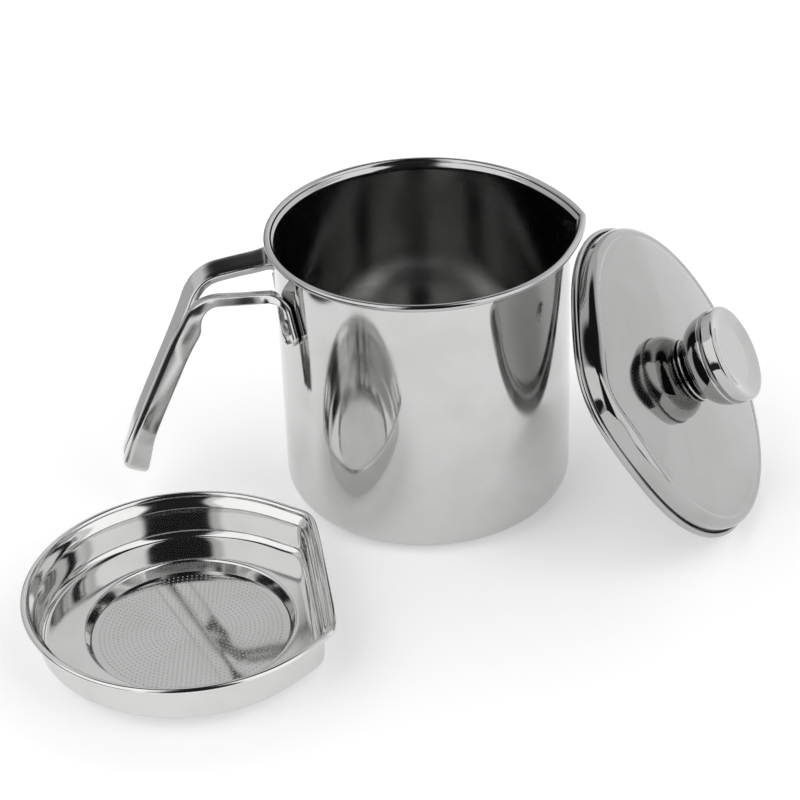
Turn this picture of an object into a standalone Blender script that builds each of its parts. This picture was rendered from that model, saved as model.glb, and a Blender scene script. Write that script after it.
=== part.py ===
"""Stainless kitchen pot for keeping strained cooking fat, with its strainer and lid set down beside it.

The pot stands on the floor plane z = 0 with its foot centred on the origin.  The pour lip points
along +X, the handle along -X, and the pot is symmetric about the XZ plane.  The strainer stands
on the floor in front of the handle.  The lid leans beside the lip with its edge on the floor.
All lengths are in metres and all angles in degrees unless a name says otherwise.
"""
import math

import bmesh
import bpy
from mathutils import Matrix, Vector

# Pot
POT_HEIGHT = 0.1315
RIM_RADIUS = 0.0700
RIM_BEAD_RADIUS = 0.0016
WALL_RADIUS = 0.0660
FOOT_FILLET = 0.0114
POT_SHEET = 0.0007
RIM_FLARE_HEIGHT = 0.0036
LIP_REACH = 0.0042
LIP_DEPTH = 0.0140
LIP_HALF_ANGLE = 30.0
LIP_SHARPNESS = 1.6

# Clearance that keeps touching pieces apart
SEAT_GAP = 0.0003

# Handle, as one half; the other half is its mirror image.  Reaches run outward from the pot's
# axis, offsets run sideways from the handle's middle plane, and both belong to the strip's top face.
ARM_OFFSET_AT_WALL = 0.0187
ARM_HEIGHT_AT_WALL = 0.1158
ELBOW_REACH = 0.1022
ELBOW_OFFSET = 0.0110
ELBOW_HEIGHT = 0.1132
SEAM_REACH = 0.1138
SEAM_HEIGHT = 0.0897
GRIP_BEND_REACH = 0.1350
GRIP_BEND_HEIGHT = 0.0440
GRIP_TIP_REACH = 0.1426
GRIP_TIP_HEIGHT = 0.0243
TAB_END_ANGLE = 24.0
TAB_END_HEIGHT = 0.0938
SHOULDER_BEND = 0.0085
ELBOW_BEND = 0.0210
SEAM_BEND = 0.0600
GRIP_BEND = 0.1200
STRIP_THICKNESS = 0.0011
TAB_WIDTH = 0.0150
TAB_LIP_DEPTH = 0.0034
TAB_EDGE_DEPTH = 0.0013
TAB_CORNER = 0.0018
TAB_EDGE_CORNER = 0.0006
ARM_INNER_WIDTH = 0.0058
ARM_OUTER_WIDTH = 0.0046
ARM_DEPTH = 0.0043
ARM_CORNER = 0.0010
GRIP_HALF_WIDTH = 0.0094
GRIP_DEPTH = 0.0106
GRIP_SEAM_DEPTH = 0.0040
GRIP_TIP_DEPTH = 0.0116
GRIP_CORNER = 0.0034
GRIP_SEAM_CORNER = 0.0010
TIP_WALL = 0.0014
TIP_ROUND = 0.0042
TIP_SLOPE_SHARE = 0.7
TIP_EDGE_SHARE = 0.9
TIP_SHARES = (0.0, 0.45, 0.8, 1.0)
TIP_SWEEP_SHARE = 0.96

# Places along the handle half, counted in corners from the tab's end (0) to the tip (5)
WRAP_STAGES = (0.9, 1.5)
TILT_STAGES = (3.6, 4.7)
SEAM_STAGES = (1.9, 2.9)
TWIST_STAGES = (1.5, 3.5)
TWIST_REACH = 0.0090
TAB_STAGE = 0.60
ARM_STAGES = (1.30, 1.75)
GRIP_STAGES = (2.58, 4.00)
TIP_STAGE = 5.00

# Rivets
RIVET_ANGLE = 19.5
RIVET_HEIGHT = 0.0998
RIVET_HEAD_RADIUS = 0.0037
RIVET_HEAD_DEPTH = 0.0016
RIVET_SHANK_RADIUS = 0.0020
RIVET_TAIL_RADIUS = 0.0031
RIVET_TAIL_DEPTH = 0.0010

# Strainer
STRAINER_X = -0.1175
STRAINER_Y = -0.1035
STRAINER_TURN = 1.35
PAN_SHEET = 0.0006
PAN_RIM_RADIUS = 0.0705
PAN_BEAD_RADIUS = 0.0015
PAN_FLARE_HEIGHT = 0.0060
PAN_DEPTH = 0.0212
PAN_FILLET = 0.0045
PAN_CHORD = 0.0602
PAN_CORNER_POWER = 40.0
PAN_CORNER_SWELL = 0.0018
PAN_CORNER_SPREAD = 7.0
WELL_RADIUS = 0.0452
WELL_DEPTH = 0.0052
WELL_FOLD = 0.0010
WELL_DRAFT = 12.0
LEDGE_WIDTH = 0.0030
SIEVE_SHEET = 0.0005
SIEVE_FIELD_RADIUS = 0.0380
SIEVE_HOLE_RADIUS = 0.0012
SIEVE_RINGS = 4

# Lid, measured from the plane of its curled edge
LID_X = 0.1033
LID_Y = -0.0376
LID_TURN = -23.5
LID_LEAN = 32.06
LID_BEAK_TURN = 27.8
LID_SHEET = 0.0006
LID_CURL_RADIUS = 0.0015
LID_CURL_START = 100.0
LID_BAND_HEIGHT = 0.0052
LID_SHOULDER = 0.0040
LID_SHOULDER_SWEEP = 80.0
LID_CREASE_DIP = 0.0003
LID_CREASE_WIDTH = 0.0022
LID_DOME_HEIGHT = 0.0148
LID_BEAK_REACH = 0.0084
LID_BEAK_EDGE_ANGLE = 20.0
LID_BEAK_CREASE_ANGLE = 12.5
LID_FIT_GAP = 0.0004
LID_DISHED_SHARE = 0.66

# Knob and its fastening
KNOB_RING_RADIUS = 0.0150
KNOB_RING_THICKNESS = 0.0012
KNOB_SHEET = 0.0008
KNOB_BASE_RADIUS = 0.0095
KNOB_SEAM_RADIUS = 0.0213
KNOB_SEAM_HEIGHT = 0.0300
KNOB_FACE_RADIUS = 0.0219
KNOB_FACE_HEIGHT = 0.0372
KNOB_FACE_EDGE = 0.0012
KNOB_FACE_DISH = 0.0018
KNOB_FACE_FLAT = 0.0120
NUT_RADIUS = 0.0055
NUT_LENGTH = 0.0080
SCREW_RADIUS = 0.0024
SCREW_HEAD_RADIUS = 0.0045
SCREW_HEAD_DEPTH = 0.0024
SCREW_REACH = 0.0060
WASHER_RADIUS = 0.0070
WASHER_THICKNESS = 0.0010

WELD_DISTANCE = 2e-6
ROUND_STEPS = 48
KNOB_STEPS = 24
SMALL_STEPS = 16
SMOOTH_ANGLE = 40.0
LEAST_MITRE_SHARE = 0.5
CROWD_SHARE = 0.38
CROWD_ANGLE = 42.0

CENTRE = Vector((0.0, 0.0, 0.0))
UP = Vector((0.0, 0.0, 1.0))


def clear_scene():
    for item in list(bpy.data.objects):
        bpy.data.objects.remove(item, do_unlink=True)
    for group in list(bpy.data.collections):
        bpy.data.collections.remove(group)


def make_collection(name):
    group = bpy.data.collections.new(name)
    bpy.context.scene.collection.children.link(group)
    return group


def make_material(name, colour, roughness):
    steel = bpy.data.materials.new(name)
    steel.use_nodes = True
    shader = steel.node_tree.nodes["Principled BSDF"]
    shader.inputs["Base Color"].default_value = (*colour, 1.0)
    shader.inputs["Metallic"].default_value = 1.0
    shader.inputs["Roughness"].default_value = roughness
    return steel


def finish_mesh(name, bm, material, group):
    """Turn a finished bmesh into a smooth-shaded object with faces pointing out."""
    bmesh.ops.recalc_face_normals(bm, faces=bm.faces)
    mesh = bpy.data.meshes.new(name)
    bm.to_mesh(mesh)
    bm.free()
    mesh.materials.append(material)
    item = bpy.data.objects.new(name, mesh)
    group.objects.link(item)
    mesh.shade_smooth()
    mesh.set_sharp_from_angle(angle=math.radians(SMOOTH_ANGLE))
    return item


def arc(centre, radius, start, end, count):
    """Points on an arc in the (radius, height) plane."""
    points = []
    for i in range(count):
        turn = math.radians(start + (end - start) * i / (count - 1))
        points.append((centre[0] + radius * math.cos(turn), centre[1] + radius * math.sin(turn)))
    return points


def sheet_section(centre_line, thickness):
    """Closed outline of a sheet whose middle follows the given (radius, height) line."""
    line = [Vector(p) for p in centre_line]
    first_face = []
    second_face = []
    for i, point in enumerate(line):
        before = (point - line[i - 1]).normalized() if i else None
        after = (line[i + 1] - point).normalized() if i + 1 < len(line) else None
        before = before or after
        after = after or before
        across = Vector((-before.y - after.y, before.x + after.x)).normalized()
        mitre = across.dot(Vector((-after.y, after.x)))
        shift = across * (thickness / 2) / max(mitre, LEAST_MITRE_SHARE)
        if point.x == 0.0:
            shift = Vector((0.0, math.copysign(thickness / 2, shift.y)))
        first_face.append(point + shift)
        second_face.append(point - shift)
    return first_face + second_face[::-1]


def lathe(section, steps, closed=True):
    """Revolve a section about the Z axis.  An open section starts and ends on the axis."""
    bm = bmesh.new()
    verts = [bm.verts.new((p[0], 0.0, p[1])) for p in section]
    edges = [bm.edges.new(pair) for pair in zip(verts, verts[1:])]
    if closed:
        edges.append(bm.edges.new((verts[-1], verts[0])))
    bmesh.ops.spin(bm, geom=verts + edges, cent=CENTRE, axis=UP, angle=math.tau, steps=steps)
    bmesh.ops.remove_doubles(bm, verts=bm.verts, dist=WELD_DISTANCE)
    return bm


def smooth_share(value):
    held = min(max(value, 0.0), 1.0)
    return held * held * (3.0 - 2.0 * held)


def stage_share(stage, limits):
    """Share of the way from one place along the handle to another."""
    low, high = limits
    return smooth_share((stage - low) / (high - low))


def polar(point):
    return math.hypot(point.x, point.y), math.atan2(point.y, point.x)


def apply_cutters(item, cutters):
    """Subtract each cutter from the item and keep the result as plain mesh."""
    for cutter in cutters:
        cut = item.modifiers.new("cut", "BOOLEAN")
        cut.operation = "DIFFERENCE"
        cut.solver = "EXACT"
        cut.object = cutter
    bpy.context.view_layer.update()
    graph = bpy.context.evaluated_depsgraph_get()
    result = bpy.data.meshes.new_from_object(item.evaluated_get(graph), depsgraph=graph)
    item.modifiers.clear()
    old = item.data
    item.data = result
    bpy.data.meshes.remove(old)
    result.name = item.name
    result.shade_smooth()
    result.set_sharp_from_angle(angle=math.radians(SMOOTH_ANGLE))


def make_cutter(name, bm, group):
    mesh = bpy.data.meshes.new(name)
    bmesh.ops.recalc_face_normals(bm, faces=bm.faces)
    bm.to_mesh(mesh)
    bm.free()
    item = bpy.data.objects.new(name, mesh)
    group.objects.link(item)
    item.hide_render = True
    item.display_type = "WIRE"
    return item


def lip_reach(turn):
    """How far the pour lip draws the rim outward at an angle from the +X direction."""
    off = 1.0 - abs(math.degrees(turn)) / LIP_HALF_ANGLE
    return LIP_REACH * max(off, 0.0) ** LIP_SHARPNESS


def crowd(turn):
    """Draw the steps of a revolved body closer together around the +X direction."""
    near_share = CROWD_SHARE * math.exp(-(math.degrees(turn) / CROWD_ANGLE) ** 2)
    return turn * (1.0 - near_share)


def rim_flare(wall_mid, bead_mid, top, height, bead_radius):
    """Centre line of the wall's last rise, from the straight wall to the rolled bead."""
    rise_shares = (0.0, 0.4, 0.72)
    out_shares = (0.0, 0.12, 0.5)
    rise = height - bead_radius
    return [
        (wall_mid + (bead_mid - wall_mid) * out, top - height + rise * up)
        for up, out in zip(rise_shares, out_shares)
    ]


def rivet_frames():
    """Place and direction of both rivets, each direction pointing out of the wall."""
    frames = []
    for side in (-1.0, 1.0):
        turn = math.radians(180.0 - side * RIVET_ANGLE)
        out = Vector((math.cos(turn), math.sin(turn), 0.0))
        frames.append((side, out, UP * RIVET_HEIGHT))
    return frames


def along(out, origin):
    """Matrix that lays the local Z axis along a direction and moves the origin to a point."""
    return Matrix.Translation(origin) @ UP.rotation_difference(out).to_matrix().to_4x4()


def hole_cutters(group):
    """Round bars that make the rivet holes through the tabs and the pot wall."""
    cutters = []
    inner = WALL_RADIUS - 3 * POT_SHEET
    reach = 3 * POT_SHEET + SEAT_GAP + 2 * STRIP_THICKNESS
    for side, out, level in rivet_frames():
        bm = bmesh.new()
        bmesh.ops.create_cone(
            bm, cap_ends=True, segments=SMALL_STEPS, depth=reach,
            radius1=RIVET_SHANK_RADIUS + SEAT_GAP, radius2=RIVET_SHANK_RADIUS + SEAT_GAP,
            matrix=along(out, level + out * (inner + reach / 2)))
        cutters.append(make_cutter("rivet_hole", bm, group))
    return cutters


def make_pot(material, group, cutters):
    """One drawn sheet: flat foot, upright wall, outward flare, rolled bead and pour lip."""
    foot = POT_SHEET / 2
    wall_mid = WALL_RADIUS - POT_SHEET / 2
    fillet = FOOT_FILLET - POT_SHEET / 2
    curl = RIM_BEAD_RADIUS - POT_SHEET / 2
    bead = (RIM_RADIUS - RIM_BEAD_RADIUS, POT_HEIGHT - RIM_BEAD_RADIUS)
    flat = wall_mid - fillet
    line = [(0.0, foot), (flat / 2, foot)]
    line += arc((flat, foot + fillet), fillet, -90.0, 0.0, 6)
    line += [(wall_mid, POT_HEIGHT / 2), (wall_mid, POT_HEIGHT - LIP_DEPTH)]
    line += rim_flare(wall_mid, bead[0] - curl, POT_HEIGHT, RIM_FLARE_HEIGHT, RIM_BEAD_RADIUS)
    line += arc(bead, curl, 180.0, -105.0, 7)
    bm = lathe(sheet_section(line, POT_SHEET), ROUND_STEPS, closed=False)
    for vert in bm.verts:
        radius, turn = polar(vert.co)
        if radius > POT_SHEET:
            turn = crowd(turn)
            rise = (vert.co.z - POT_HEIGHT + LIP_DEPTH) / (LIP_DEPTH - 2 * RIM_BEAD_RADIUS)
            radius += lip_reach(turn) * smooth_share(rise)
            vert.co.x = radius * math.cos(turn)
            vert.co.y = radius * math.sin(turn)
    pot = finish_mesh("pot_shell", bm, material, group)
    apply_cutters(pot, cutters)
    return pot


def rounded_path(corners, bends, bend_steps, run_steps):
    """Follow straight runs joined by arcs.  Each sample is a point, the direction of the path there
    and its place along the corners."""
    samples = []
    leave = corners[0]
    leave_stage = 0.0
    for i, bend in enumerate(bends, start=1):
        corner = corners[i]
        back = corners[i - 1] - corner
        ahead = corners[i + 1] - corner
        half = back.angle(ahead) / 2
        reach = bend / math.tan(half)
        centre = corner + (back.normalized() + ahead.normalized()).normalized() * bend / math.sin(half)
        enter = corner + back.normalized() * reach
        enter_stage = i - reach / back.length
        course = -back.normalized()
        for k in range(run_steps):
            samples.append((leave.lerp(enter, k / run_steps), course,
                            leave_stage + (enter_stage - leave_stage) * k / run_steps))
        leave = corner + ahead.normalized() * reach
        leave_stage = i + reach / ahead.length
        first = enter - centre
        axis = first.cross(leave - centre).normalized()
        sweep = first.angle(leave - centre)
        for k in range(bend_steps):
            turn = Matrix.Rotation(sweep * k / bend_steps, 3, axis)
            samples.append((centre + turn @ first, turn @ course,
                            enter_stage + (leave_stage - enter_stage) * k / bend_steps))
    last = len(corners) - 1
    course = (corners[-1] - leave).normalized()
    for k in range(run_steps + 1):
        samples.append((leave.lerp(corners[-1], k / run_steps), course,
                        leave_stage + (last - leave_stage) * k / run_steps))
    return samples


def blend_table(table, stage):
    """Read a row of sizes at a place between the rows of a table."""
    if stage <= table[0][0]:
        return list(table[0][1])
    for (low, first), (high, second) in zip(table, table[1:]):
        if stage <= high:
            share = smooth_share((stage - low) / (high - low))
            return [p + (q - p) * share for p, q in zip(first, second)]
    return list(table[-1][1])


def strip_section(sizes):
    """Bent strip seen end on: a web, a deep flange on the outer side and one on the seam side."""
    width_in, width_out, depth, seam_depth, corner, seam_corner, web, top = sizes
    wall = STRIP_THICKNESS
    corner = min(corner, width_in + width_out - seam_corner - wall / 4)
    spare = max(depth - top - web, wall / 4)
    hollow = min(max(corner - wall, wall / 4), spare / 2)
    seam_hollow = min(max(seam_corner - wall, wall / 4), spare / 2)
    roof = spare - depth
    first, last = seam_corner - width_in, width_out - corner
    outline = arc((first, -top - seam_corner), seam_corner, 180.0, 90.0, 3)
    outline += [((first + last) / 2, -top)]
    outline += arc((last, -top - corner), corner, 90.0, 0.0, 4)
    outline += [(width_out, -depth), (width_out - wall, -depth)]
    first, last = wall + seam_hollow - width_in, width_out - wall - hollow
    outline += arc((last, roof - hollow), hollow, 0.0, 90.0, 3)
    outline += [((first + last) / 2, roof)]
    outline += arc((first, roof - seam_hollow), seam_hollow, 90.0, 180.0, 3)
    lowest = min(-seam_depth, roof - seam_hollow - wall / 8)
    outline += [(wall - width_in, lowest), (-width_in, lowest)]
    return outline


def handle_corners():
    """Corners of the half's centre line as (reach, offset, height), from the tab to the tip."""
    turn = math.radians(RIVET_ANGLE)
    seat = WALL_RADIUS + SEAT_GAP
    out = Vector((math.cos(turn), math.sin(turn), 0.0))
    aside = Vector((-math.sin(turn), math.cos(turn), 0.0))
    slip = (ARM_OFFSET_AT_WALL - out.y * seat) / aside.y
    end_slip = math.radians(TAB_END_ANGLE - RIVET_ANGLE) * seat
    middle = (GRIP_HALF_WIDTH + SEAT_GAP / 2) / 2
    return [
        out * seat + aside * end_slip + UP * TAB_END_HEIGHT,
        out * seat + aside * slip + UP * ARM_HEIGHT_AT_WALL,
        Vector((ELBOW_REACH, ELBOW_OFFSET, ELBOW_HEIGHT)),
        Vector((SEAM_REACH, middle, SEAM_HEIGHT)),
        Vector((GRIP_BEND_REACH, middle, GRIP_BEND_HEIGHT)),
        Vector((GRIP_TIP_REACH, middle, GRIP_TIP_HEIGHT)),
    ]


def wrap_on_wall(spot, share):
    """Bend a point of the tab's flat plan round the pot's wall, and keep it clear of the wall."""
    turn = math.radians(RIVET_ANGLE)
    seat = WALL_RADIUS + SEAT_GAP
    along_wall = -math.sin(turn) * spot.x + math.cos(turn) * spot.y
    reach = math.cos(turn) * spot.x + math.sin(turn) * spot.y
    bent = turn + along_wall / seat
    wrapped = spot.lerp(Vector((reach * math.cos(bent), reach * math.sin(bent), spot.z)), share)
    push = max(seat / math.hypot(wrapped.x, wrapped.y), 1.0)
    return Vector((wrapped.x * push, wrapped.y * push, wrapped.z))


def strip_tilt(stage):
    """Sideways lean of the strip's top: full along the arm and the grip, gone at the tip."""
    return math.radians(RIVET_ANGLE) * (1.0 - stage_share(stage, TILT_STAGES))


def top_normal(ahead, stage):
    """Normal of the strip's top where the path runs in this direction."""
    tilt = strip_tilt(stage)
    upper = Vector((-ahead.z, 0.0, ahead.x)).normalized() * math.cos(tilt)
    upper -= Vector((0.0, math.sin(tilt), 0.0))
    return (upper - ahead * upper.dot(ahead)).normalized()


def eased_normal(samples, point, ahead):
    """Average the top normals near a point, so that the strip's twist starts and ends gently."""
    total = Vector()
    for before, here, after in zip(samples, samples[1:], samples[2:]):
        span = (after[0] - before[0]).length
        near = max(1.0 - (here[0] - point).length / TWIST_REACH, 0.0)
        total += top_normal(here[1], here[2]) * span * near
    return (total - ahead * total.dot(ahead)).normalized()


def handle_rings():
    """Stations of the half as (point, direction, top normal, section sizes, share on the wall)."""
    samples = rounded_path(handle_corners(), (SHOULDER_BEND, ELBOW_BEND, SEAM_BEND, GRIP_BEND), 5, 3)
    half_tab = TAB_WIDTH / 2
    half_grip = (GRIP_HALF_WIDTH - SEAT_GAP / 2) / 2
    wall = STRIP_THICKNESS
    arm = (ARM_INNER_WIDTH, ARM_OUTER_WIDTH, ARM_DEPTH, ARM_DEPTH, ARM_CORNER, ARM_CORNER, wall, 0.0)
    grip = (half_grip, half_grip, GRIP_DEPTH, GRIP_SEAM_DEPTH, GRIP_CORNER, GRIP_SEAM_CORNER, wall, 0.0)
    tab = (half_tab, half_tab, TAB_LIP_DEPTH, TAB_EDGE_DEPTH, TAB_CORNER, TAB_EDGE_CORNER, wall, 0.0)
    table = [
        (TAB_STAGE, tab),
        (ARM_STAGES[0], arm),
        (ARM_STAGES[1], arm),
        (GRIP_STAGES[0], grip),
        (GRIP_STAGES[1], grip),
        (TIP_STAGE, grip[:2] + (GRIP_TIP_DEPTH,) + grip[3:]),
    ]
    rings = []
    for point, ahead, stage in samples:
        upper = top_normal(ahead, stage)
        if TWIST_STAGES[0] < stage < TWIST_STAGES[1]:
            upper = eased_normal(samples, point, ahead)
        on_wall = 1.0 - stage_share(stage, WRAP_STAGES)
        sizes = blend_table(table, stage)
        to_seam = (point.y - SEAT_GAP / 2) / math.cos(strip_tilt(stage))
        sizes[0] += (to_seam - sizes[0]) * stage_share(stage, SEAM_STAGES)
        rings.append((point, ahead, upper, sizes, on_wall))
    return rings


def close_tip(rings):
    """Replace the last station with ones that close the tip with a wall and round its corner."""
    point, ahead, upper, sizes, on_wall = rings.pop()
    open_end = point - ahead * (TIP_ROUND + TIP_WALL / 2)
    rings.append((open_end, ahead, upper, sizes, on_wall))
    for share in TIP_SHARES:
        inset = TIP_ROUND * (1.0 - math.sqrt(1.0 - share * share * TIP_SWEEP_SHARE))
        slope = inset * TIP_SLOPE_SHARE
        closed = list(sizes)
        closed[1] -= inset
        closed[2] -= inset * TIP_EDGE_SHARE
        closed[3] = closed[2]
        closed[6] = closed[2]
        closed[7] = slope
        rings.append((point - ahead * TIP_ROUND * (1.0 - share), ahead, upper, closed, on_wall))


def make_handle_half(name, side, material, group, cutters):
    """One pressed strip: riveted tab, arm, elbow and one half of the grip, with a closed tip."""
    rings = handle_rings()
    close_tip(rings)
    bm = bmesh.new()
    loops = []
    for point, ahead, upper, sizes, on_wall in rings:
        aside = upper.cross(ahead)
        if aside.y < 0.0:
            aside = -aside
        loop = []
        for s, u in strip_section(sizes):
            spot = wrap_on_wall(point + aside * s + upper * u, on_wall)
            loop.append(bm.verts.new((-spot.x, side * spot.y, spot.z)))
        loops.append(loop)
    for first, second in zip(loops, loops[1:]):
        for k in range(len(first)):
            bm.faces.new((first[k - 1], first[k], second[k], second[k - 1]))
    bm.faces.new(loops[0])
    bm.faces.new(loops[-1])
    half = finish_mesh(name, bm, material, group)
    apply_cutters(half, cutters)
    return half


def make_rivet(name, out, level, material, group):
    """Solid rivet: domed head in the tab, shank through tab and wall, flat tail inside the pot."""
    inner_face = WALL_RADIUS - POT_SHEET - SEAT_GAP
    seat = WALL_RADIUS + 2 * SEAT_GAP + STRIP_THICKNESS
    section = [(0.0, inner_face - RIVET_TAIL_DEPTH), (RIVET_TAIL_RADIUS, inner_face - RIVET_TAIL_DEPTH),
               (RIVET_TAIL_RADIUS, inner_face), (RIVET_SHANK_RADIUS, inner_face),
               (RIVET_SHANK_RADIUS, seat), (RIVET_HEAD_RADIUS, seat)]
    for turn in (22.5, 45.0, 67.5):
        lift = math.radians(turn)
        section.append((RIVET_HEAD_RADIUS * math.cos(lift), seat + RIVET_HEAD_DEPTH * math.sin(lift)))
    section.append((0.0, seat + RIVET_HEAD_DEPTH))
    bm = lathe(section, SMALL_STEPS, closed=False)
    bmesh.ops.transform(bm, matrix=along(out, level), verts=bm.verts)
    return finish_mesh(name, bm, material, group)


def pan_plan(radius, turn):
    """Plan radius of a strainer ring whose pouring side is pressed in to a straight chord."""
    bead_centre = PAN_RIM_RADIUS - PAN_BEAD_RADIUS
    chord = PAN_CHORD - PAN_BEAD_RADIUS - (bead_centre - radius)
    corner = math.degrees(math.acos(chord / radius))
    off = (abs(math.degrees(turn)) - corner - PAN_CORNER_SPREAD / 2) / PAN_CORNER_SPREAD
    full = radius + PAN_CORNER_SWELL * math.exp(-off * off)
    if math.cos(turn) <= 0.0:
        return full
    power = PAN_CORNER_POWER
    ratio = full * math.cos(turn) / chord
    return full / (1.0 + ratio ** power) ** (1.0 / power)


def make_pan(place, material, group):
    """Strainer pan: rolled rim, short wall, flat ring of floor and a central well with a ledge."""
    base = PAN_SHEET / 2
    wall_mid = WALL_RADIUS - POT_SHEET - SEAT_GAP - PAN_SHEET / 2
    floor = base + WELL_DEPTH
    rim = WELL_DEPTH + PAN_DEPTH
    curl = PAN_BEAD_RADIUS - PAN_SHEET / 2
    bead = (PAN_RIM_RADIUS - PAN_BEAD_RADIUS, rim - PAN_BEAD_RADIUS)
    fillet = PAN_FILLET - PAN_SHEET / 2
    ledge = WELL_RADIUS - 2 * WELL_FOLD
    line = [(ledge - LEDGE_WIDTH, base)]
    line += arc((ledge - WELL_FOLD, base + WELL_FOLD), WELL_FOLD, -90.0, -WELL_DRAFT, 3)
    line += arc((WELL_RADIUS + WELL_FOLD, floor - WELL_FOLD), WELL_FOLD, 180.0 - WELL_DRAFT, 90.0, 3)
    line += arc((wall_mid - fillet, floor + fillet), fillet, -90.0, 0.0, 4)
    line += [(wall_mid, (floor + rim) / 2)]
    line += rim_flare(wall_mid, bead[0] - curl, rim, PAN_FLARE_HEIGHT, PAN_BEAD_RADIUS)
    line += arc(bead, curl, 180.0, -105.0, 6)
    bm = lathe(sheet_section(line, PAN_SHEET), ROUND_STEPS)
    start = wall_mid - fillet - PAN_SHEET
    for vert in bm.verts:
        radius, turn = polar(vert.co)
        if radius > start:
            turn = crowd(turn)
            radius = pan_plan(radius, turn)
            vert.co.x = radius * math.cos(turn)
            vert.co.y = radius * math.sin(turn)
    pan = finish_mesh("strainer_pan", bm, material, group)
    pan.matrix_world = place
    return pan


def make_sieve(place, material, group, cutter_group):
    """Flat perforated disc lying on the well's ledge."""
    low = PAN_SHEET + SEAT_GAP
    bm = bmesh.new()
    radius = WELL_RADIUS - 2 * WELL_FOLD - PAN_SHEET / 2 - SEAT_GAP
    bmesh.ops.create_cone(
        bm, cap_ends=True, segments=ROUND_STEPS, depth=SIEVE_SHEET, radius1=radius, radius2=radius,
        matrix=Matrix.Translation(UP * (low + SIEVE_SHEET / 2)))
    sieve = finish_mesh("sieve_disc", bm, material, group)
    holes = bmesh.new()
    pitch = SIEVE_FIELD_RADIUS / SIEVE_RINGS
    for ring in range(SIEVE_RINGS + 1):
        count = max(6 * ring, 1)
        for k in range(count):
            turn = math.tau * k / count
            spot = Vector((math.cos(turn), math.sin(turn), 0.0)) * pitch * ring
            bmesh.ops.create_cone(
                holes, cap_ends=True, segments=6, depth=3 * SIEVE_SHEET, radius1=SIEVE_HOLE_RADIUS,
                radius2=SIEVE_HOLE_RADIUS, matrix=Matrix.Translation(spot + UP * (low + SIEVE_SHEET / 2)))
    cutter = make_cutter("sieve_holes", holes, cutter_group)
    apply_cutters(sieve, [cutter])
    sieve.matrix_world = place
    cutter.matrix_world = place
    return sieve


def lid_reach(turn, height, share):
    """How far the lid's beak draws its edge outward to cover the pour lip."""
    up = smooth_share(height / (LID_BAND_HEIGHT + LID_SHOULDER))
    width = LID_BEAK_EDGE_ANGLE + (LID_BEAK_CREASE_ANGLE - LID_BEAK_EDGE_ANGLE) * up
    return LID_BEAK_REACH * share * math.exp(-(math.degrees(turn) / width) ** 2)


def lid_band():
    """Radius of the middle of the lid's upright band, just outside the strainer's rolled rim."""
    return PAN_RIM_RADIUS + LID_FIT_GAP + LID_SHEET / 2


def lid_line():
    """Centre line of the lid's sheet from the free end of its curl to the screw hole."""
    band = lid_band()
    curl = LID_CURL_RADIUS - LID_SHEET / 2
    line = arc((band + curl, 0.0), curl, LID_CURL_START, -180.0, 7)
    line += arc((band - LID_SHOULDER, LID_BAND_HEIGHT), LID_SHOULDER, 0.0, LID_SHOULDER_SWEEP, 4)
    crease = line[-1]
    line.append((crease[0] - LID_CREASE_WIDTH / 2, crease[1] - LID_CREASE_DIP))
    edge = (crease[0] - LID_CREASE_WIDTH, crease[1])
    apex = LID_DOME_HEIGHT - LID_SHEET / 2
    hole = SCREW_RADIUS + SEAT_GAP
    for share in (1.0, 0.75, 0.5, 0.25, hole / edge[0]):
        line.append((edge[0] * share, apex - (apex - edge[1]) * share * share))
    return line


def make_lid(place, material, group):
    """Lid: outward curl, upright band with a beak over the pour lip, creased shoulder, low dome."""
    inner = lid_band() * LID_DISHED_SHARE
    full = lid_band() - LID_SHOULDER
    bm = lathe(sheet_section(lid_line(), LID_SHEET), ROUND_STEPS)
    for vert in bm.verts:
        radius, turn = polar(vert.co)
        turn = crowd(turn)
        share = smooth_share((radius - inner) / (full - inner))
        radius += lid_reach(turn, vert.co.z, share)
        vert.co.x = radius * math.cos(turn)
        vert.co.y = radius * math.sin(turn)
    lid = finish_mesh("lid_shell", bm, material, group)
    lid.matrix_world = place
    return lid


def make_turned(name, section, steps, closed, place, material, group):
    bm = lathe(section, steps, closed)
    item = finish_mesh(name, bm, material, group)
    item.matrix_world = place
    return item


def box_ring(inner, outer, low, high):
    return [(inner, low), (outer, low), (outer, high), (inner, high)]


def knob_base():
    """Height of the underside of the knob's bowl above the plane of the lid's curl."""
    return LID_DOME_HEIGHT + 2 * SEAT_GAP + KNOB_RING_THICKNESS


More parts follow.
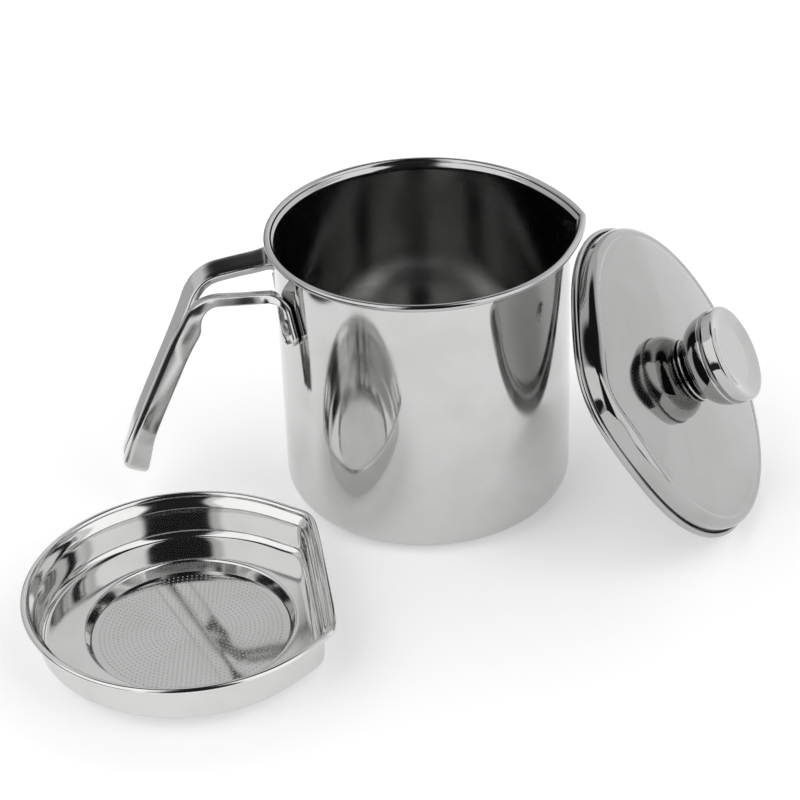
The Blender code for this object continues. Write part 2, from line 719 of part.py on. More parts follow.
def make_knob(place, steel, satin, group):
    """Hollow knob of ring, bowl and cap, held by a screw from under the lid."""
    bore = SCREW_RADIUS + SEAT_GAP
    low = LID_DOME_HEIGHT + SEAT_GAP
    high = low + KNOB_RING_THICKNESS
    round_edge = KNOB_RING_THICKNESS / 2
    ring = [(bore, low)] + arc((KNOB_RING_RADIUS - round_edge, low + round_edge), round_edge, -90.0, 90.0, 5)
    ring += [(bore, high)]
    items = [make_turned("knob_ring", ring, KNOB_STEPS, True, place, steel, group)]

    base = knob_base() + KNOB_SHEET / 2
    lift = KNOB_SEAM_HEIGHT - base
    spread = KNOB_SEAM_RADIUS - KNOB_SHEET / 2 - KNOB_BASE_RADIUS
    bowl = [(bore + SEAT_GAP, base)]
    for turn in (0.0, 22.5, 45.0, 67.5, 90.0):
        way = math.radians(turn)
        bowl.append((KNOB_BASE_RADIUS + spread * math.sin(way), base + lift * (1.0 - math.cos(way))))
    bowl = sheet_section(bowl, KNOB_SHEET)
    items.append(make_turned("knob_bowl", bowl, KNOB_STEPS, True, place, steel, group))

    edge = KNOB_FACE_EDGE - KNOB_SHEET / 2
    side = KNOB_FACE_RADIUS - KNOB_SHEET / 2
    top = KNOB_FACE_HEIGHT - KNOB_SHEET / 2
    crown = side - edge
    cap = [(0.0, top - KNOB_FACE_DISH)]
    for share in (0.0, 0.25, 0.5, 0.75):
        rise = share * share * (2.0 - share)
        cap.append((KNOB_FACE_FLAT + (crown - KNOB_FACE_FLAT) * share, top - KNOB_FACE_DISH * (1.0 - rise)))
    cap += arc((crown, top - edge), edge, 90.0, 0.0, 4)
    cap += [(side, KNOB_SEAM_HEIGHT + SEAT_GAP)]
    cap = sheet_section(cap, KNOB_SHEET)
    items.append(make_turned("knob_cap", cap, KNOB_STEPS, False, place, steel, group))

    nut_low = knob_base() + KNOB_SHEET + SEAT_GAP
    nut = box_ring(bore, NUT_RADIUS, nut_low, nut_low + NUT_LENGTH)
    items.append(make_turned("knob_nut", nut, SMALL_STEPS, True, place, satin, group))

    under = LID_DOME_HEIGHT - LID_SHEET - SEAT_GAP
    washer = box_ring(bore, WASHER_RADIUS, under - WASHER_THICKNESS, under)
    items.append(make_turned("screw_washer", washer, SMALL_STEPS, True, place, satin, group))

    seat = under - WASHER_THICKNESS - SEAT_GAP
    head = seat - SCREW_HEAD_DEPTH
    screw = [(0.0, head)]
    for turn in (30.0, 60.0):
        way = math.radians(turn)
        screw.append((SCREW_HEAD_RADIUS * math.sin(way), seat - SCREW_HEAD_DEPTH * math.cos(way)))
    screw += [(SCREW_HEAD_RADIUS, seat), (SCREW_RADIUS, seat), (SCREW_RADIUS, nut_low + SCREW_REACH),
              (0.0, nut_low + SCREW_REACH)]
    items.append(make_turned("lid_screw", screw, SMALL_STEPS, False, place, satin, group))
    return items


def lid_place():
    """Matrix that leans the lid on its edge, dome outward, with its beak towards the front."""
    turn = math.radians(LID_TURN)
    lean = math.radians(LID_LEAN)
    beak = math.radians(LID_BEAK_TURN)
    face = Vector((math.cos(lean) * math.cos(turn), math.cos(lean) * math.sin(turn), math.sin(lean)))
    level = Vector((math.sin(turn), -math.cos(turn), 0.0))
    rise = level.cross(face)
    if rise.z < 0.0:
        rise = -rise
    forward = level * math.cos(beak) + rise * math.sin(beak)
    across = face.cross(forward)
    frame = Matrix((forward, across, face)).transposed().to_4x4()
    return Matrix.Translation((LID_X, LID_Y, 0.0)) @ frame


def stand_on_floor(items, lowest):
    """Raise a group of pieces so that the lowest point of one of them touches the floor."""
    depth = min((lowest.matrix_world @ vert.co).z for vert in lowest.data.vertices)
    for item in items:
        item.matrix_world = Matrix.Translation(UP * -depth) @ item.matrix_world


def main():
    clear_scene()
    group = make_collection("grease_strainer_pot")
    cutter_group = make_collection("cutters")
    polished = make_material("polished_steel", (0.78, 0.78, 0.77), 0.12)
    brushed = make_material("brushed_steel", (0.72, 0.72, 0.71), 0.28)
    plain = make_material("plain_steel", (0.66, 0.66, 0.66), 0.35)

    holes = hole_cutters(cutter_group)
    make_pot(brushed, group, holes)
    for side, out, level in rivet_frames():
        name = "near" if side < 0.0 else "far"
        make_handle_half("handle_half_" + name, side, polished, group, holes)
        make_rivet("rivet_" + name, out, level, plain, group)

    pan_place = Matrix.Translation((STRAINER_X, STRAINER_Y, 0.0))
    pan_place = pan_place @ Matrix.Rotation(math.radians(STRAINER_TURN), 4, "Z")
    make_pan(pan_place, polished, group)
    make_sieve(pan_place, plain, group, cutter_group)

    place = lid_place()
    lid = make_lid(place, polished, group)
    knob = make_knob(place, polished, plain, group)
    stand_on_floor([lid] + knob, lid)


main()
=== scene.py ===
# %% [markdown]
# # A kitchen pot for strained cooking fat
#
# The object is a pot of polished stainless sheet with a riveted handle and a pour lip, the strainer
# that hangs in its mouth, and its lid with a hollow knob. The strainer stands on the floor in front
# of the handle and the lid leans beside the lip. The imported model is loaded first, as a fixed frame.
# Each visible piece is then made again in finer mesh in the same place, and gets its finish.

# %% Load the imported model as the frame
import math

import bmesh
import bpy
from mathutils import Matrix, Vector


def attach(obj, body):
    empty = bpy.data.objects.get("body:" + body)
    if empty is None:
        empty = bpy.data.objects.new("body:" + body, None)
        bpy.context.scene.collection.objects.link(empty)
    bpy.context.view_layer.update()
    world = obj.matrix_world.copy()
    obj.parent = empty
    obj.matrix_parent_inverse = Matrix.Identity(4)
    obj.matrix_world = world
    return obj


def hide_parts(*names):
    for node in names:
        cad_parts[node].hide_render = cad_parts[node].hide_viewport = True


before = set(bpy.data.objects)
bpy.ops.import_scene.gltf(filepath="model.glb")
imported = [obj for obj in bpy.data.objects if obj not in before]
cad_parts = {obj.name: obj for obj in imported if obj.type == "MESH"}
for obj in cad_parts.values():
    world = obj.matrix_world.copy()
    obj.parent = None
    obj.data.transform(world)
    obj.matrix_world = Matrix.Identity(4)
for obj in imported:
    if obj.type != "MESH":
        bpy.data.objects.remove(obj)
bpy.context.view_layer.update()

# %% [markdown]
# ## The camera
#
# Products like this are photographed with a long lens from above and a little to one side. The
# camera's place and direction are written as plain values, so that the frame matches the
# photograph: a 104 mm lens, 0.9 m in front of the pot, looking down by about a third of a right
# angle, and rolled by two degrees. An aimed empty would do too, but a matrix keeps the roll exact.

# %% Camera
CAMERA_PLACE = Vector((-0.1068, -0.8982, 0.6187))
CAMERA_AZIMUTH = -6.0
CAMERA_PITCH = 32.55
CAMERA_ROLL = -2.262
CAMERA_LENS = 104.28
SENSOR_WIDTH = 36.0
UP = Vector((0.0, 0.0, 1.0))


def camera_matrix():
    """Columns of right, up and backward directions, then the place."""
    azimuth = math.radians(CAMERA_AZIMUTH)
    pitch = math.radians(CAMERA_PITCH)
    roll = math.radians(CAMERA_ROLL)
    ahead = Vector((-math.sin(azimuth) * math.cos(pitch), math.cos(azimuth) * math.cos(pitch),
                    -math.sin(pitch)))
    level = ahead.cross(UP).normalized()
    above = level.cross(ahead)
    right = level * math.cos(roll) + above * math.sin(roll)
    upward = above * math.cos(roll) - level * math.sin(roll)
    return Matrix.Translation(CAMERA_PLACE) @ Matrix((right, upward, -ahead)).transposed().to_4x4()


camera_data = bpy.data.cameras.new("camera")
camera_data.lens = CAMERA_LENS
camera_data.sensor_width = SENSOR_WIDTH
camera = bpy.data.objects.new("camera", camera_data)
bpy.context.scene.collection.objects.link(camera)
camera.matrix_world = camera_matrix()
bpy.context.scene.camera = camera
bpy.context.scene.view_settings.view_transform = "Standard"
print("camera looks along", [round(c, 3) for c in -camera.matrix_world.col[2].xyz])

# %% [markdown]
# ## The studio
#
# Polished steel has almost no colour of its own: what is seen is the room that it mirrors. A
# photographer builds that room from a white floor, a pale backdrop, two long soft boxes, a dark
# ceiling and a black card round the camera. Low down the room is dark on its left and light on its
# right, and to the left behind the handle it is one even grey. All of these could be lamps and
# planes. Here all but the floor are painted into the world by direction instead, so that nothing
# stands in the way when the camera moves round the object. The camera itself sees plain white.

# %% World painted by direction
HORIZON_LEVEL = 0.56
BACKDROP_LEVEL = 0.76
CEILING_LEVEL = 0.016
SOFT_BOX_LEVEL = 1.28
BLACK_CARD_LEVEL = 0.016
DARK_SIDE_LEVEL = 0.024
RIGHT_SIDE_LEVEL = 1.04
GRIP_CARD_LEVEL = 0.56
FLOOR_FILL = 1.4
WHITE = (1.0, 1.0, 1.0, 1.0)
BACKDROP_RISE = (4.0, 34.0)
CEILING_RISE = (50.0, 64.0)
# Each card is a level, then in degrees its middle, half width, low and high edge, and soft border.
CARDS = (
    (SOFT_BOX_LEVEL, -64.0, 30.0, 2.0, 76.0, 6.0),
    (SOFT_BOX_LEVEL, 52.0, 20.0, 2.0, 76.0, 5.0),
    (GRIP_CARD_LEVEL, -128.0, 14.0, -40.0, 26.0, 6.0),
    (BLACK_CARD_LEVEL, 3.0, 23.0, -20.0, 88.0, 5.0),
    (DARK_SIDE_LEVEL, -72.0, 30.0, -50.0, 3.0, 6.0),
    (DARK_SIDE_LEVEL, -163.0, 12.0, -50.0, 2.0, 5.0),
    (RIGHT_SIDE_LEVEL, 122.0, 34.0, -50.0, 34.0, 10.0),
)


def feed(tree, socket, given):
    """Set a socket to a value, or link it to the output that feeds it."""
    if isinstance(given, bpy.types.NodeSocket):
        tree.links.new(given, socket)
    else:
        socket.default_value = given


def node(tree, kind, **sockets):
    """Add a node whose sockets are given by name."""
    made = tree.nodes.new(kind)
    for key, given in sockets.items():
        feed(tree, made.inputs[key.replace("_", " ")], given)
    return made


def maths(tree, operation, *given):
    """Add a maths node and return its result."""
    made = tree.nodes.new("ShaderNodeMath")
    made.operation = operation
    for socket, value in zip(made.inputs, given):
        feed(tree, socket, value)
    return made.outputs[0]


def fade(tree, value, start, end):
    """Smooth step from 0 at start to 1 at end; start may be the larger."""
    made = node(tree, "ShaderNodeMapRange", Value=value)
    made.interpolation_type = "SMOOTHSTEP"
    made.inputs["From Min"].default_value = start
    made.inputs["From Max"].default_value = end
    return made.outputs["Result"]


def mix_values(tree, share, first, second):
    """Mix two numbers. Sockets 0, 2 and 3 of the node are the share and the two numbers."""
    made = tree.nodes.new("ShaderNodeMix")
    made.data_type = "FLOAT"
    for place, value in ((0, share), (2, first), (3, second)):
        feed(tree, made.inputs[place], value)
    return made.outputs[0]


world = bpy.data.worlds.new("studio")
bpy.context.scene.world = world
world.use_nodes = True
studio = world.node_tree
studio.nodes.clear()
direction = studio.nodes.new("ShaderNodeTexCoord").outputs["Generated"]
axes = node(studio, "ShaderNodeSeparateXYZ", Vector=direction)
azimuth = maths(studio, "MULTIPLY", maths(studio, "ARCTAN2", axes.outputs[0], maths(
    studio, "MULTIPLY", axes.outputs[1], -1.0)), math.degrees(1.0))
elevation = maths(studio, "MULTIPLY", maths(studio, "ARCSINE", axes.outputs[2]), math.degrees(1.0))


def paint_card(level_so_far, level, middle, half_width, low, high, soft):
    """Paint a soft-edged card over the studio: azimuth 0 is behind the camera, + to its right."""
    off = maths(studio, "ABSOLUTE", maths(studio, "WRAP", maths(
        studio, "SUBTRACT", azimuth, middle), 180.0, -180.0))
    mask = maths(studio, "MULTIPLY", fade(studio, off, half_width + soft, half_width), maths(
        studio, "MULTIPLY", fade(studio, elevation, low - soft, low),
        fade(studio, elevation, high + soft, high)))
    return mix_values(studio, mask, level_so_far, level)


level = mix_values(studio, fade(studio, elevation, *BACKDROP_RISE), HORIZON_LEVEL, BACKDROP_LEVEL)
level = mix_values(studio, fade(studio, elevation, *CEILING_RISE), level, CEILING_LEVEL)
for card in CARDS:
    level = paint_card(level, *card)
path_kind = studio.nodes.new("ShaderNodeLightPath").outputs
filled = maths(studio, "MULTIPLY", level, FLOOR_FILL)
level = mix_values(studio, path_kind["Is Diffuse Ray"], level, filled)
level = mix_values(studio, path_kind["Is Camera Ray"], level, 1.0)
light = node(studio, "ShaderNodeBackground", Color=WHITE, Strength=level)
sky = node(studio, "ShaderNodeOutputWorld")
studio.links.new(light.outputs[0], sky.inputs["Surface"])
print("studio painted with", len(studio.nodes), "nodes")

# %% [markdown]
# The floor is a plain pale sheet. It takes the soft shadow of the pieces, and a little glow that
# only the camera and the mirroring steel see lifts it to the white of the photograph.

# %% Floor
FLOOR_HALF = 1.8
FLOOR_LEFT_EDGE = -0.262
FLOOR_GLOW = 0.345
PAPER_TONE = 0.85
PAPER_ROUGHNESS = 0.9

bm = bmesh.new()
bmesh.ops.create_grid(bm, x_segments=1, y_segments=1, size=FLOOR_HALF)
bmesh.ops.translate(bm, vec=(FLOOR_HALF + FLOOR_LEFT_EDGE, 0.0, 0.0), verts=bm.verts)
floor_mesh = bpy.data.meshes.new("studio_floor")
bm.to_mesh(floor_mesh)
bm.free()
floor = bpy.data.objects.new("studio_floor", floor_mesh)
bpy.context.scene.collection.objects.link(floor)
paper = bpy.data.materials.new("white floor paper")
paper.use_nodes = True
tree = paper.node_tree
shader = tree.nodes["Principled BSDF"]
shader.inputs["Base Color"].default_value = (PAPER_TONE, PAPER_TONE, PAPER_TONE, 1.0)
shader.inputs["Roughness"].default_value = PAPER_ROUGHNESS
shader.inputs["Specular IOR Level"].default_value = 0.0
shader.inputs["Emission Color"].default_value = WHITE
rays = tree.nodes.new("ShaderNodeLightPath").outputs
seen = maths(tree, "MAXIMUM", rays["Is Camera Ray"], maths(
    tree, "MAXIMUM", rays["Is Glossy Ray"], rays["Is Transmission Ray"]))
tree.links.new(maths(tree, "MULTIPLY", seen, FLOOR_GLOW), shader.inputs["Emission Strength"])
floor_mesh.materials.append(paper)
print("floor", 2 * FLOOR_HALF, "m wide")

# %% [markdown]
# ## Steel marks
#
# Even mirror-polished steel carries marks that can be seen close up: fine rub lines that the buff
# left while the piece turned, soft hand smudges, and a slight waviness from pressing. They are
# shared by every piece, so they are node groups. The lines are noise stretched round the piece's
# own axis, which needs no seam, because it uses the direction from the axis and not the angle.

# %% Node groups for rub lines and smudges
FLOAT = "NodeSocketFloat"
VECTOR = "NodeSocketVector"
RUB_DETAIL = 3.0
# Each mark's name, how many times the patches per metre it has, and its detail.
SMUDGE_MARKS = (("Smudge", 1.0, 4.0), ("Waviness", 0.8, 0.0))


def new_group(name, inputs, outputs):
    """Make a node group and return it with its inputs and outputs as sockets to link."""
    group = bpy.data.node_groups.new(name, "ShaderNodeTree")
    for title, kind, value in inputs:
        socket = group.interface.new_socket(title, in_out="INPUT", socket_type=kind)
        if value is not None:
            socket.default_value = value
    for title in outputs:
        group.interface.new_socket(title, in_out="OUTPUT", socket_type=FLOAT)
    return group, group.nodes.new("NodeGroupInput").outputs, group.nodes.new("NodeGroupOutput").inputs


rub_lines, given, put_out = new_group(
    "rub lines round the axis",
    [("Place", VECTOR, None), ("Lines per metre", FLOAT, 3000.0), ("Breaks", FLOAT, 2.5)], ["Lines"])
parts = node(rub_lines, "ShaderNodeSeparateXYZ", Vector=given["Place"]).outputs
flat = node(rub_lines, "ShaderNodeCombineXYZ", X=parts[0], Y=parts[1]).outputs[0]
length = rub_lines.nodes.new("ShaderNodeVectorMath")
length.operation = "LENGTH"
rub_lines.links.new(flat, length.inputs[0])
radius = length.outputs["Value"]
outward = rub_lines.nodes.new("ShaderNodeVectorMath")
outward.operation = "NORMALIZE"
rub_lines.links.new(flat, outward.inputs[0])
heading = node(rub_lines, "ShaderNodeSeparateXYZ", Vector=outward.outputs[0]).outputs
spot = node(
    rub_lines, "ShaderNodeCombineXYZ", X=maths(rub_lines, "MULTIPLY", heading[0], given["Breaks"]),
    Y=maths(rub_lines, "MULTIPLY", heading[1], given["Breaks"]),
    Z=maths(rub_lines, "MULTIPLY", parts[2], given["Lines per metre"]))
noise = rub_lines.nodes.new("ShaderNodeTexNoise")
noise.noise_dimensions = "4D"
noise.inputs["Scale"].default_value = 1.0
noise.inputs["Detail"].default_value = RUB_DETAIL
rub_lines.links.new(spot.outputs[0], noise.inputs["Vector"])
rub_lines.links.new(maths(rub_lines, "MULTIPLY", radius, given["Lines per metre"]), noise.inputs["W"])
rub_lines.links.new(noise.outputs[0], put_out["Lines"])

smudges, given, put_out = new_group(
    "hand smudges", [("Place", VECTOR, None), ("Patches per metre", FLOAT, 38.0)],
    [title for title, size, detail in SMUDGE_MARKS])
for title, size, detail in SMUDGE_MARKS:
    noise = node(smudges, "ShaderNodeTexNoise", Vector=given["Place"], Detail=detail,
                 Scale=maths(smudges, "MULTIPLY", given["Patches per metre"], size))
    smudges.links.new(noise.outputs[0], put_out[title])
print("marks:", rub_lines.name, "and", smudges.name)

# %% [markdown]
# ## Steel finishes
#
# One recipe makes every finish here. A Principled shader with Metallic 1 gets a grey close to that
# of stainless steel. The smudges raise its roughness a little in patches, the rub lines give it a
# fine grain, and both feed a very small bump. The Mapping node carries the pattern to the piece's
# own axis, so the lines on the leaning lid run round the lid and not round the pot.

# %% Steel recipe
SMUDGE_EDGES = (0.42, 0.68)
SMUDGE_SHARE = 0.8
CLEAN_BLUE = 0.992
SMUDGED_TONE = 0.94
SMUDGED_BLUE = 0.925
LINE_HEIGHT = 0.25
WAVE_HEIGHT = 6.0


def steel(name, tone=0.60, roughness=0.06, grain=0.03, smudge=0.05, lines=3000.0, lift=0.00001,
          frame_at=None):
    """Make a steel finish. frame_at is the matrix of the piece's own axis, if it isn't the pot's."""
    made = bpy.data.materials.new(name)
    made.use_nodes = True
    tree = made.node_tree
    shader = tree.nodes["Principled BSDF"]
    shader.inputs["Metallic"].default_value = 1.0
    place = tree.nodes.new("ShaderNodeTexCoord").outputs["Object"]
    if frame_at is not None:
        mapping = node(tree, "ShaderNodeMapping", Vector=place)
        mapping.vector_type = "TEXTURE"
        mapping.inputs["Location"].default_value = frame_at.to_translation()
        mapping.inputs["Rotation"].default_value = frame_at.to_euler()
        place = mapping.outputs[0]
    around = node(tree, "ShaderNodeGroup")
    around.node_tree = rub_lines
    around.inputs["Lines per metre"].default_value = lines
    tree.links.new(place, around.inputs["Place"])
    marks = node(tree, "ShaderNodeGroup")
    marks.node_tree = smudges
    tree.links.new(place, marks.inputs["Place"])
    patch = fade(tree, marks.outputs["Smudge"], *SMUDGE_EDGES)
    rough = maths(tree, "ADD", roughness - grain / 2, maths(tree, "MULTIPLY", patch, smudge))
    rough = maths(tree, "ADD", rough, maths(tree, "MULTIPLY", around.outputs["Lines"], grain))
    tree.links.new(rough, shader.inputs["Roughness"])
    blend = tree.nodes.new("ShaderNodeMix")
    blend.data_type = "RGBA"
    blend.inputs["A"].default_value = (tone, tone, tone * CLEAN_BLUE, 1.0)
    blend.inputs["B"].default_value = (tone * SMUDGED_TONE, tone * SMUDGED_TONE, tone * SMUDGED_BLUE, 1.0)
    tree.links.new(maths(tree, "MULTIPLY", patch, SMUDGE_SHARE), blend.inputs["Factor"])
    tree.links.new(blend.outputs["Result"], shader.inputs["Base Color"])
    height = maths(tree, "ADD", maths(tree, "MULTIPLY", around.outputs["Lines"], LINE_HEIGHT), maths(
        tree, "MULTIPLY", marks.outputs["Waviness"], WAVE_HEIGHT))
    bump = node(tree, "ShaderNodeBump", Height=height, Distance=lift)
    tree.links.new(bump.outputs[0], shader.inputs["Normal"])
    return made


# %% [markdown]
# ## Shared shaping tools
#
# Nearly every round piece is spun sheet: a blank disc is pressed over a turning form, so its section is
# one line turned about an axis. The same is done here. The middle line of the sheet is drawn as a
# chain of edges, the spin operator turns it, and a Solidify modifier gives it the thickness of the
# sheet on both sides of that line. A boolean or a sculpted mesh would leave uneven faces, and on a
# mirror finish those show at once as ripples.

# %% Spin, finish and arc helpers
WELD = 2e-6
SHARP_ANGLE = math.radians(40.0)


def arc(centre_r, centre_z, radius, start, end, count):
    """Points on an arc of the section, as (radius, height)."""
    turns = [math.radians(start + (end - start) * i / (count - 1)) for i in range(count)]
    return [(centre_r + radius * math.cos(turn), centre_z + radius * math.sin(turn)) for turn in turns]


def run(first, last, count):
    """Points between two ends of a straight run, without the ends."""
    along, rise = last[0] - first[0], last[1] - first[1]
    return [(first[0] + along * i / (count + 1), first[1] + rise * i / (count + 1))
            for i in range(1, count + 1)]


def smooth_share(value):
    """Ease a value from 0 to 1, and hold it there past both ends."""
    held = min(max(value, 0.0), 1.0)
    return held * held * (3.0 - 2.0 * held)


def spun(line, steps, loop=False):
    """Turn a chain of (radius, height) points about Z and close its seam and its poles."""
    bm = bmesh.new()
    verts = [bm.verts.new((r, 0.0, z)) for r, z in line]
    edges = [bm.edges.new(pair) for pair in zip(verts, verts[1:])]
    if loop:
        edges.append(bm.edges.new((verts[-1], verts[0])))
    bmesh.ops.spin(bm, geom=verts + edges, cent=(0.0, 0.0, 0.0), axis=UP, angle=math.tau, steps=steps,
                   use_merge=True)
    bmesh.ops.remove_doubles(bm, verts=bm.verts, dist=WELD)
    bmesh.ops.recalc_face_normals(bm, faces=bm.faces)
    return bm


def reshape(bm, plan):
    """Move each vertex of a spun piece to plan(radius, turn, height), a new radius and turn."""
    for vert in bm.verts:
        radius = math.hypot(vert.co.x, vert.co.y)
        if radius > WELD:
            radius, turn = plan(radius, math.atan2(vert.co.y, vert.co.x), vert.co.z)
            vert.co.x = radius * math.cos(turn)
            vert.co.y = radius * math.sin(turn)


def piece(name, bm, body, node_names, finish, thickness=None, place=None):
    """Make the object from a finished bmesh: its wall, finish, body and the CAD nodes it replaces."""
    if place is not None:
        bmesh.ops.transform(bm, matrix=place, verts=bm.verts)
    mesh = bpy.data.meshes.new(name)
    bm.to_mesh(mesh)
    bm.free()
    mesh.materials.append(finish)
    mesh.shade_smooth()
    made = bpy.data.objects.new(name, mesh)
    bpy.context.scene.collection.objects.link(made)
    if thickness:
        wall = made.modifiers.new("sheet thickness", "SOLIDIFY")
        wall.thickness = thickness
        wall.offset = 0.0
        wall.use_even_offset = True
    else:
        mesh.set_sharp_from_angle(angle=SHARP_ANGLE)
    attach(made, body)
    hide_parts(*node_names)
    print(name, len(mesh.polygons), "faces")
    return made


# %% [markdown]
# ## The pot
#
# The pot is drawn from one disc: a flat foot with a round edge, an upright wall, and a short flare
# that ends in an open rolled bead, which stiffens the mouth and gives a safe edge. The pour lip is
# pressed outward afterwards. So the round section is spun first, and the lip is a displacement
# that grows towards the rim and is strongest at +X, with a sharp middle as on the real pot. The
# inside is left as drawn and the outside is polished, so the outer skin takes the second finish.
# The inside's rougher grain is the drawn finish, and its lower grey is painted shade in the hollow.

# %% Pot sizes
POT_HEIGHT = 0.1315
RIM_RADIUS = 0.0700
RIM_BEAD_RADIUS = 0.0016
WALL_RADIUS = 0.0660
FOOT_FILLET = 0.0114
POT_SHEET = 0.0007
FLARE_HEIGHT = 0.0036
LIP_REACH = 0.0042
LIP_DEPTH = 0.0140
LIP_HALF_ANGLE = 30.0
LIP_SHARPNESS = 1.6
BEAD_END_ANGLE = -105.0
SEAT_GAP = 0.0003
ROUND_STEPS = 256
FLARE_STEPS = 8
FOOT_STEPS = 14
RIM_STEPS = 16
FOOT_RINGS = 6
WALL_RINGS = 8
LIP_RINGS = 6
CROWD_SHARE = 0.38
CROWD_ANGLE = 42.0


def crowd(turn):
    """Draw the steps of a spun piece closer together round +X, where its lip or corner is."""
    return turn * (1.0 - CROWD_SHARE * math.exp(-(math.degrees(turn) / CROWD_ANGLE) ** 2))


def flare(wall_r, bead_r, top, height, bead_radius):
    """The wall's last rise, a smooth S from the straight wall to the rolled bead."""
    rise = height - bead_radius
    return [(wall_r + (bead_r - wall_r) * smooth_share(i / FLARE_STEPS),
             top - height + rise * i / FLARE_STEPS) for i in range(FLARE_STEPS)]


def lip_plan(radius, turn, height):
    """Push the wall out round +X into the pour lip, the more the nearer it is to the rim."""
    turn = crowd(turn)
    off = max(1.0 - abs(math.degrees(turn)) / LIP_HALF_ANGLE, 0.0)
    rise = (height - POT_HEIGHT + LIP_DEPTH) / (LIP_DEPTH - 2 * RIM_BEAD_RADIUS)
    return radius + LIP_REACH * off ** LIP_SHARPNESS * smooth_share(rise), turn


# %% Pot shell
wall = WALL_RADIUS - POT_SHEET / 2
fillet = FOOT_FILLET - POT_SHEET / 2
curl = RIM_BEAD_RADIUS - POT_SHEET / 2
bead = (RIM_RADIUS - RIM_BEAD_RADIUS, POT_HEIGHT - RIM_BEAD_RADIUS)
foot = POT_SHEET / 2
line = [(0.0, foot)] + run((0.0, foot), (wall - fillet, foot), FOOT_RINGS)
line += arc(wall - fillet, foot + fillet, fillet, -90.0, 0.0, FOOT_STEPS)
line += run((wall, foot + fillet), (wall, POT_HEIGHT - LIP_DEPTH), WALL_RINGS)
line += run((wall, POT_HEIGHT - LIP_DEPTH), (wall, POT_HEIGHT - FLARE_HEIGHT), LIP_RINGS)
line += flare(wall, bead[0] - curl, POT_HEIGHT, FLARE_HEIGHT, RIM_BEAD_RADIUS)
line += arc(*bead, curl, 180.0, BEAD_END_ANGLE, RIM_STEPS)
bm = spun(line, ROUND_STEPS)
reshape(bm, lip_plan)
# The inside's roughness and grain are the drawn satin finish; its tone, lower than the outside's 0.60, is
# painted shade in the pot's hollow.
drawn_steel_with_painted_shade = steel("drawn steel inside the pot with painted shade", tone=0.50, roughness=0.11, grain=0.10, lines=2500.0,
                    lift=0.00003)
pot_steel = steel("polished pot steel", tone=0.60, roughness=0.055)
pot = piece("pot_drawn_shell", bm, "pot", ["pot_shell"], drawn_steel_with_painted_shade, POT_SHEET)
pot.data.materials.append(pot_steel)
pot.modifiers["sheet thickness"].material_offset = 1

# %% [markdown]
# ## The handle
#
# The handle is two mirror-image strips of sheet, pressed to a channel. Each starts as a tab riveted
# to the wall, runs out as a narrow arm, bends down at the elbow and meets its twin along the middle
# of the grip. A strip like this is swept: its section is laid at stations along a path and each
# station is extruded from the one before. The section changes on the way from tab to arm to grip,
# which a curve with a bevel could not do.

# %% Handle sizes
ARM_OFFSET_AT_WALL = 0.0187
ARM_HEIGHT_AT_WALL = 0.1158
ELBOW = Vector((0.1022, 0.0110, 0.1132))
SEAM_REACH = 0.1138
SEAM_HEIGHT = 0.0897
GRIP_BEND_REACH = 0.1350
GRIP_BEND_HEIGHT = 0.0440
GRIP_TIP_REACH = 0.1426
GRIP_TIP_HEIGHT = 0.0243
TAB_END_ANGLE = 24.0
TAB_END_HEIGHT = 0.0938
BENDS = (0.0085, 0.0210, 0.0600, 0.1200)
STRIP = 0.0011
TAB_WIDTH = 0.0150
TAB_DEPTH = 0.0034
TAB_SEAM_DEPTH = 0.0013
TAB_CORNER = 0.0018
TAB_SEAM_CORNER = 0.0006
ARM_INNER_WIDTH = 0.0058
ARM_OUTER_WIDTH = 0.0046
ARM_DEPTH = 0.0043
ARM_CORNER = 0.0010
GRIP_HALF_WIDTH = 0.0094
GRIP_DEPTH = 0.0106
GRIP_SEAM_DEPTH = 0.0040
GRIP_TIP_DEPTH = 0.0116
GRIP_CORNER = 0.0034
SEAM_CORNER = 0.0010
TIP_WALL = 0.0014
TIP_ROUND = 0.0042
TIP_SLOPE_SHARE = 0.7
TIP_EDGE_SHARE = 0.9
TIP_SWEEP = 84.0
TIP_STEPS = 14
TAB_ROUND = 0.0042
TAB_END_BLUNTNESS = 0.97
TAB_END_STEPS = 8
RIVET_ANGLE = 19.5
RIVET_HEIGHT = 0.0998
WRAP_STAGES = (0.9, 1.5)
TILT_STAGES = (3.6, 4.7)
SEAM_STAGES = (1.9, 2.9)
TWIST_STAGES = (1.5, 3.5)
TWIST_REACH = 0.0090
BEND_STEPS = 14
RUN_STEPS = 7
WEB_STEPS = 3
CORNER_STEPS = 9
SEAM_CORNER_STEPS = 6
HOLLOW_STEPS = 6
SEAM_HOLLOW_STEPS = 5
EDGE_STEPS = 7


def rounded_path(corners, bends):
    """Straight runs joined by arcs. A sample is a point, the direction and the place in corners."""
    samples = []
    leave, leave_stage = corners[0], 0.0
    for i, bend in enumerate(bends, start=1):
        back, ahead = corners[i - 1] - corners[i], corners[i + 1] - corners[i]
        half = back.angle(ahead) / 2
        reach = bend / math.tan(half)
        inward = (back.normalized() + ahead.normalized()).normalized()
        centre = corners[i] + inward * bend / math.sin(half)
        enter, enter_stage = corners[i] + back.normalized() * reach, i - reach / back.length
        course = -back.normalized()
        samples += [(leave.lerp(enter, k / RUN_STEPS), course,
                     leave_stage + (enter_stage - leave_stage) * k / RUN_STEPS) for k in range(RUN_STEPS)]
        leave, leave_stage = corners[i] + ahead.normalized() * reach, i + reach / ahead.length
        first = enter - centre
        axis = first.cross(leave - centre).normalized()
        sweep = first.angle(leave - centre)
        for k in range(BEND_STEPS):
            turn = Matrix.Rotation(sweep * k / BEND_STEPS, 3, axis)
            samples.append((centre + turn @ first, turn @ course,
                            enter_stage + (leave_stage - enter_stage) * k / BEND_STEPS))
    last = len(corners) - 1
    course = (corners[-1] - leave).normalized()
    samples += [(leave.lerp(corners[-1], k / RUN_STEPS), course,
                 leave_stage + (last - leave_stage) * k / RUN_STEPS) for k in range(RUN_STEPS + 1)]
    return samples


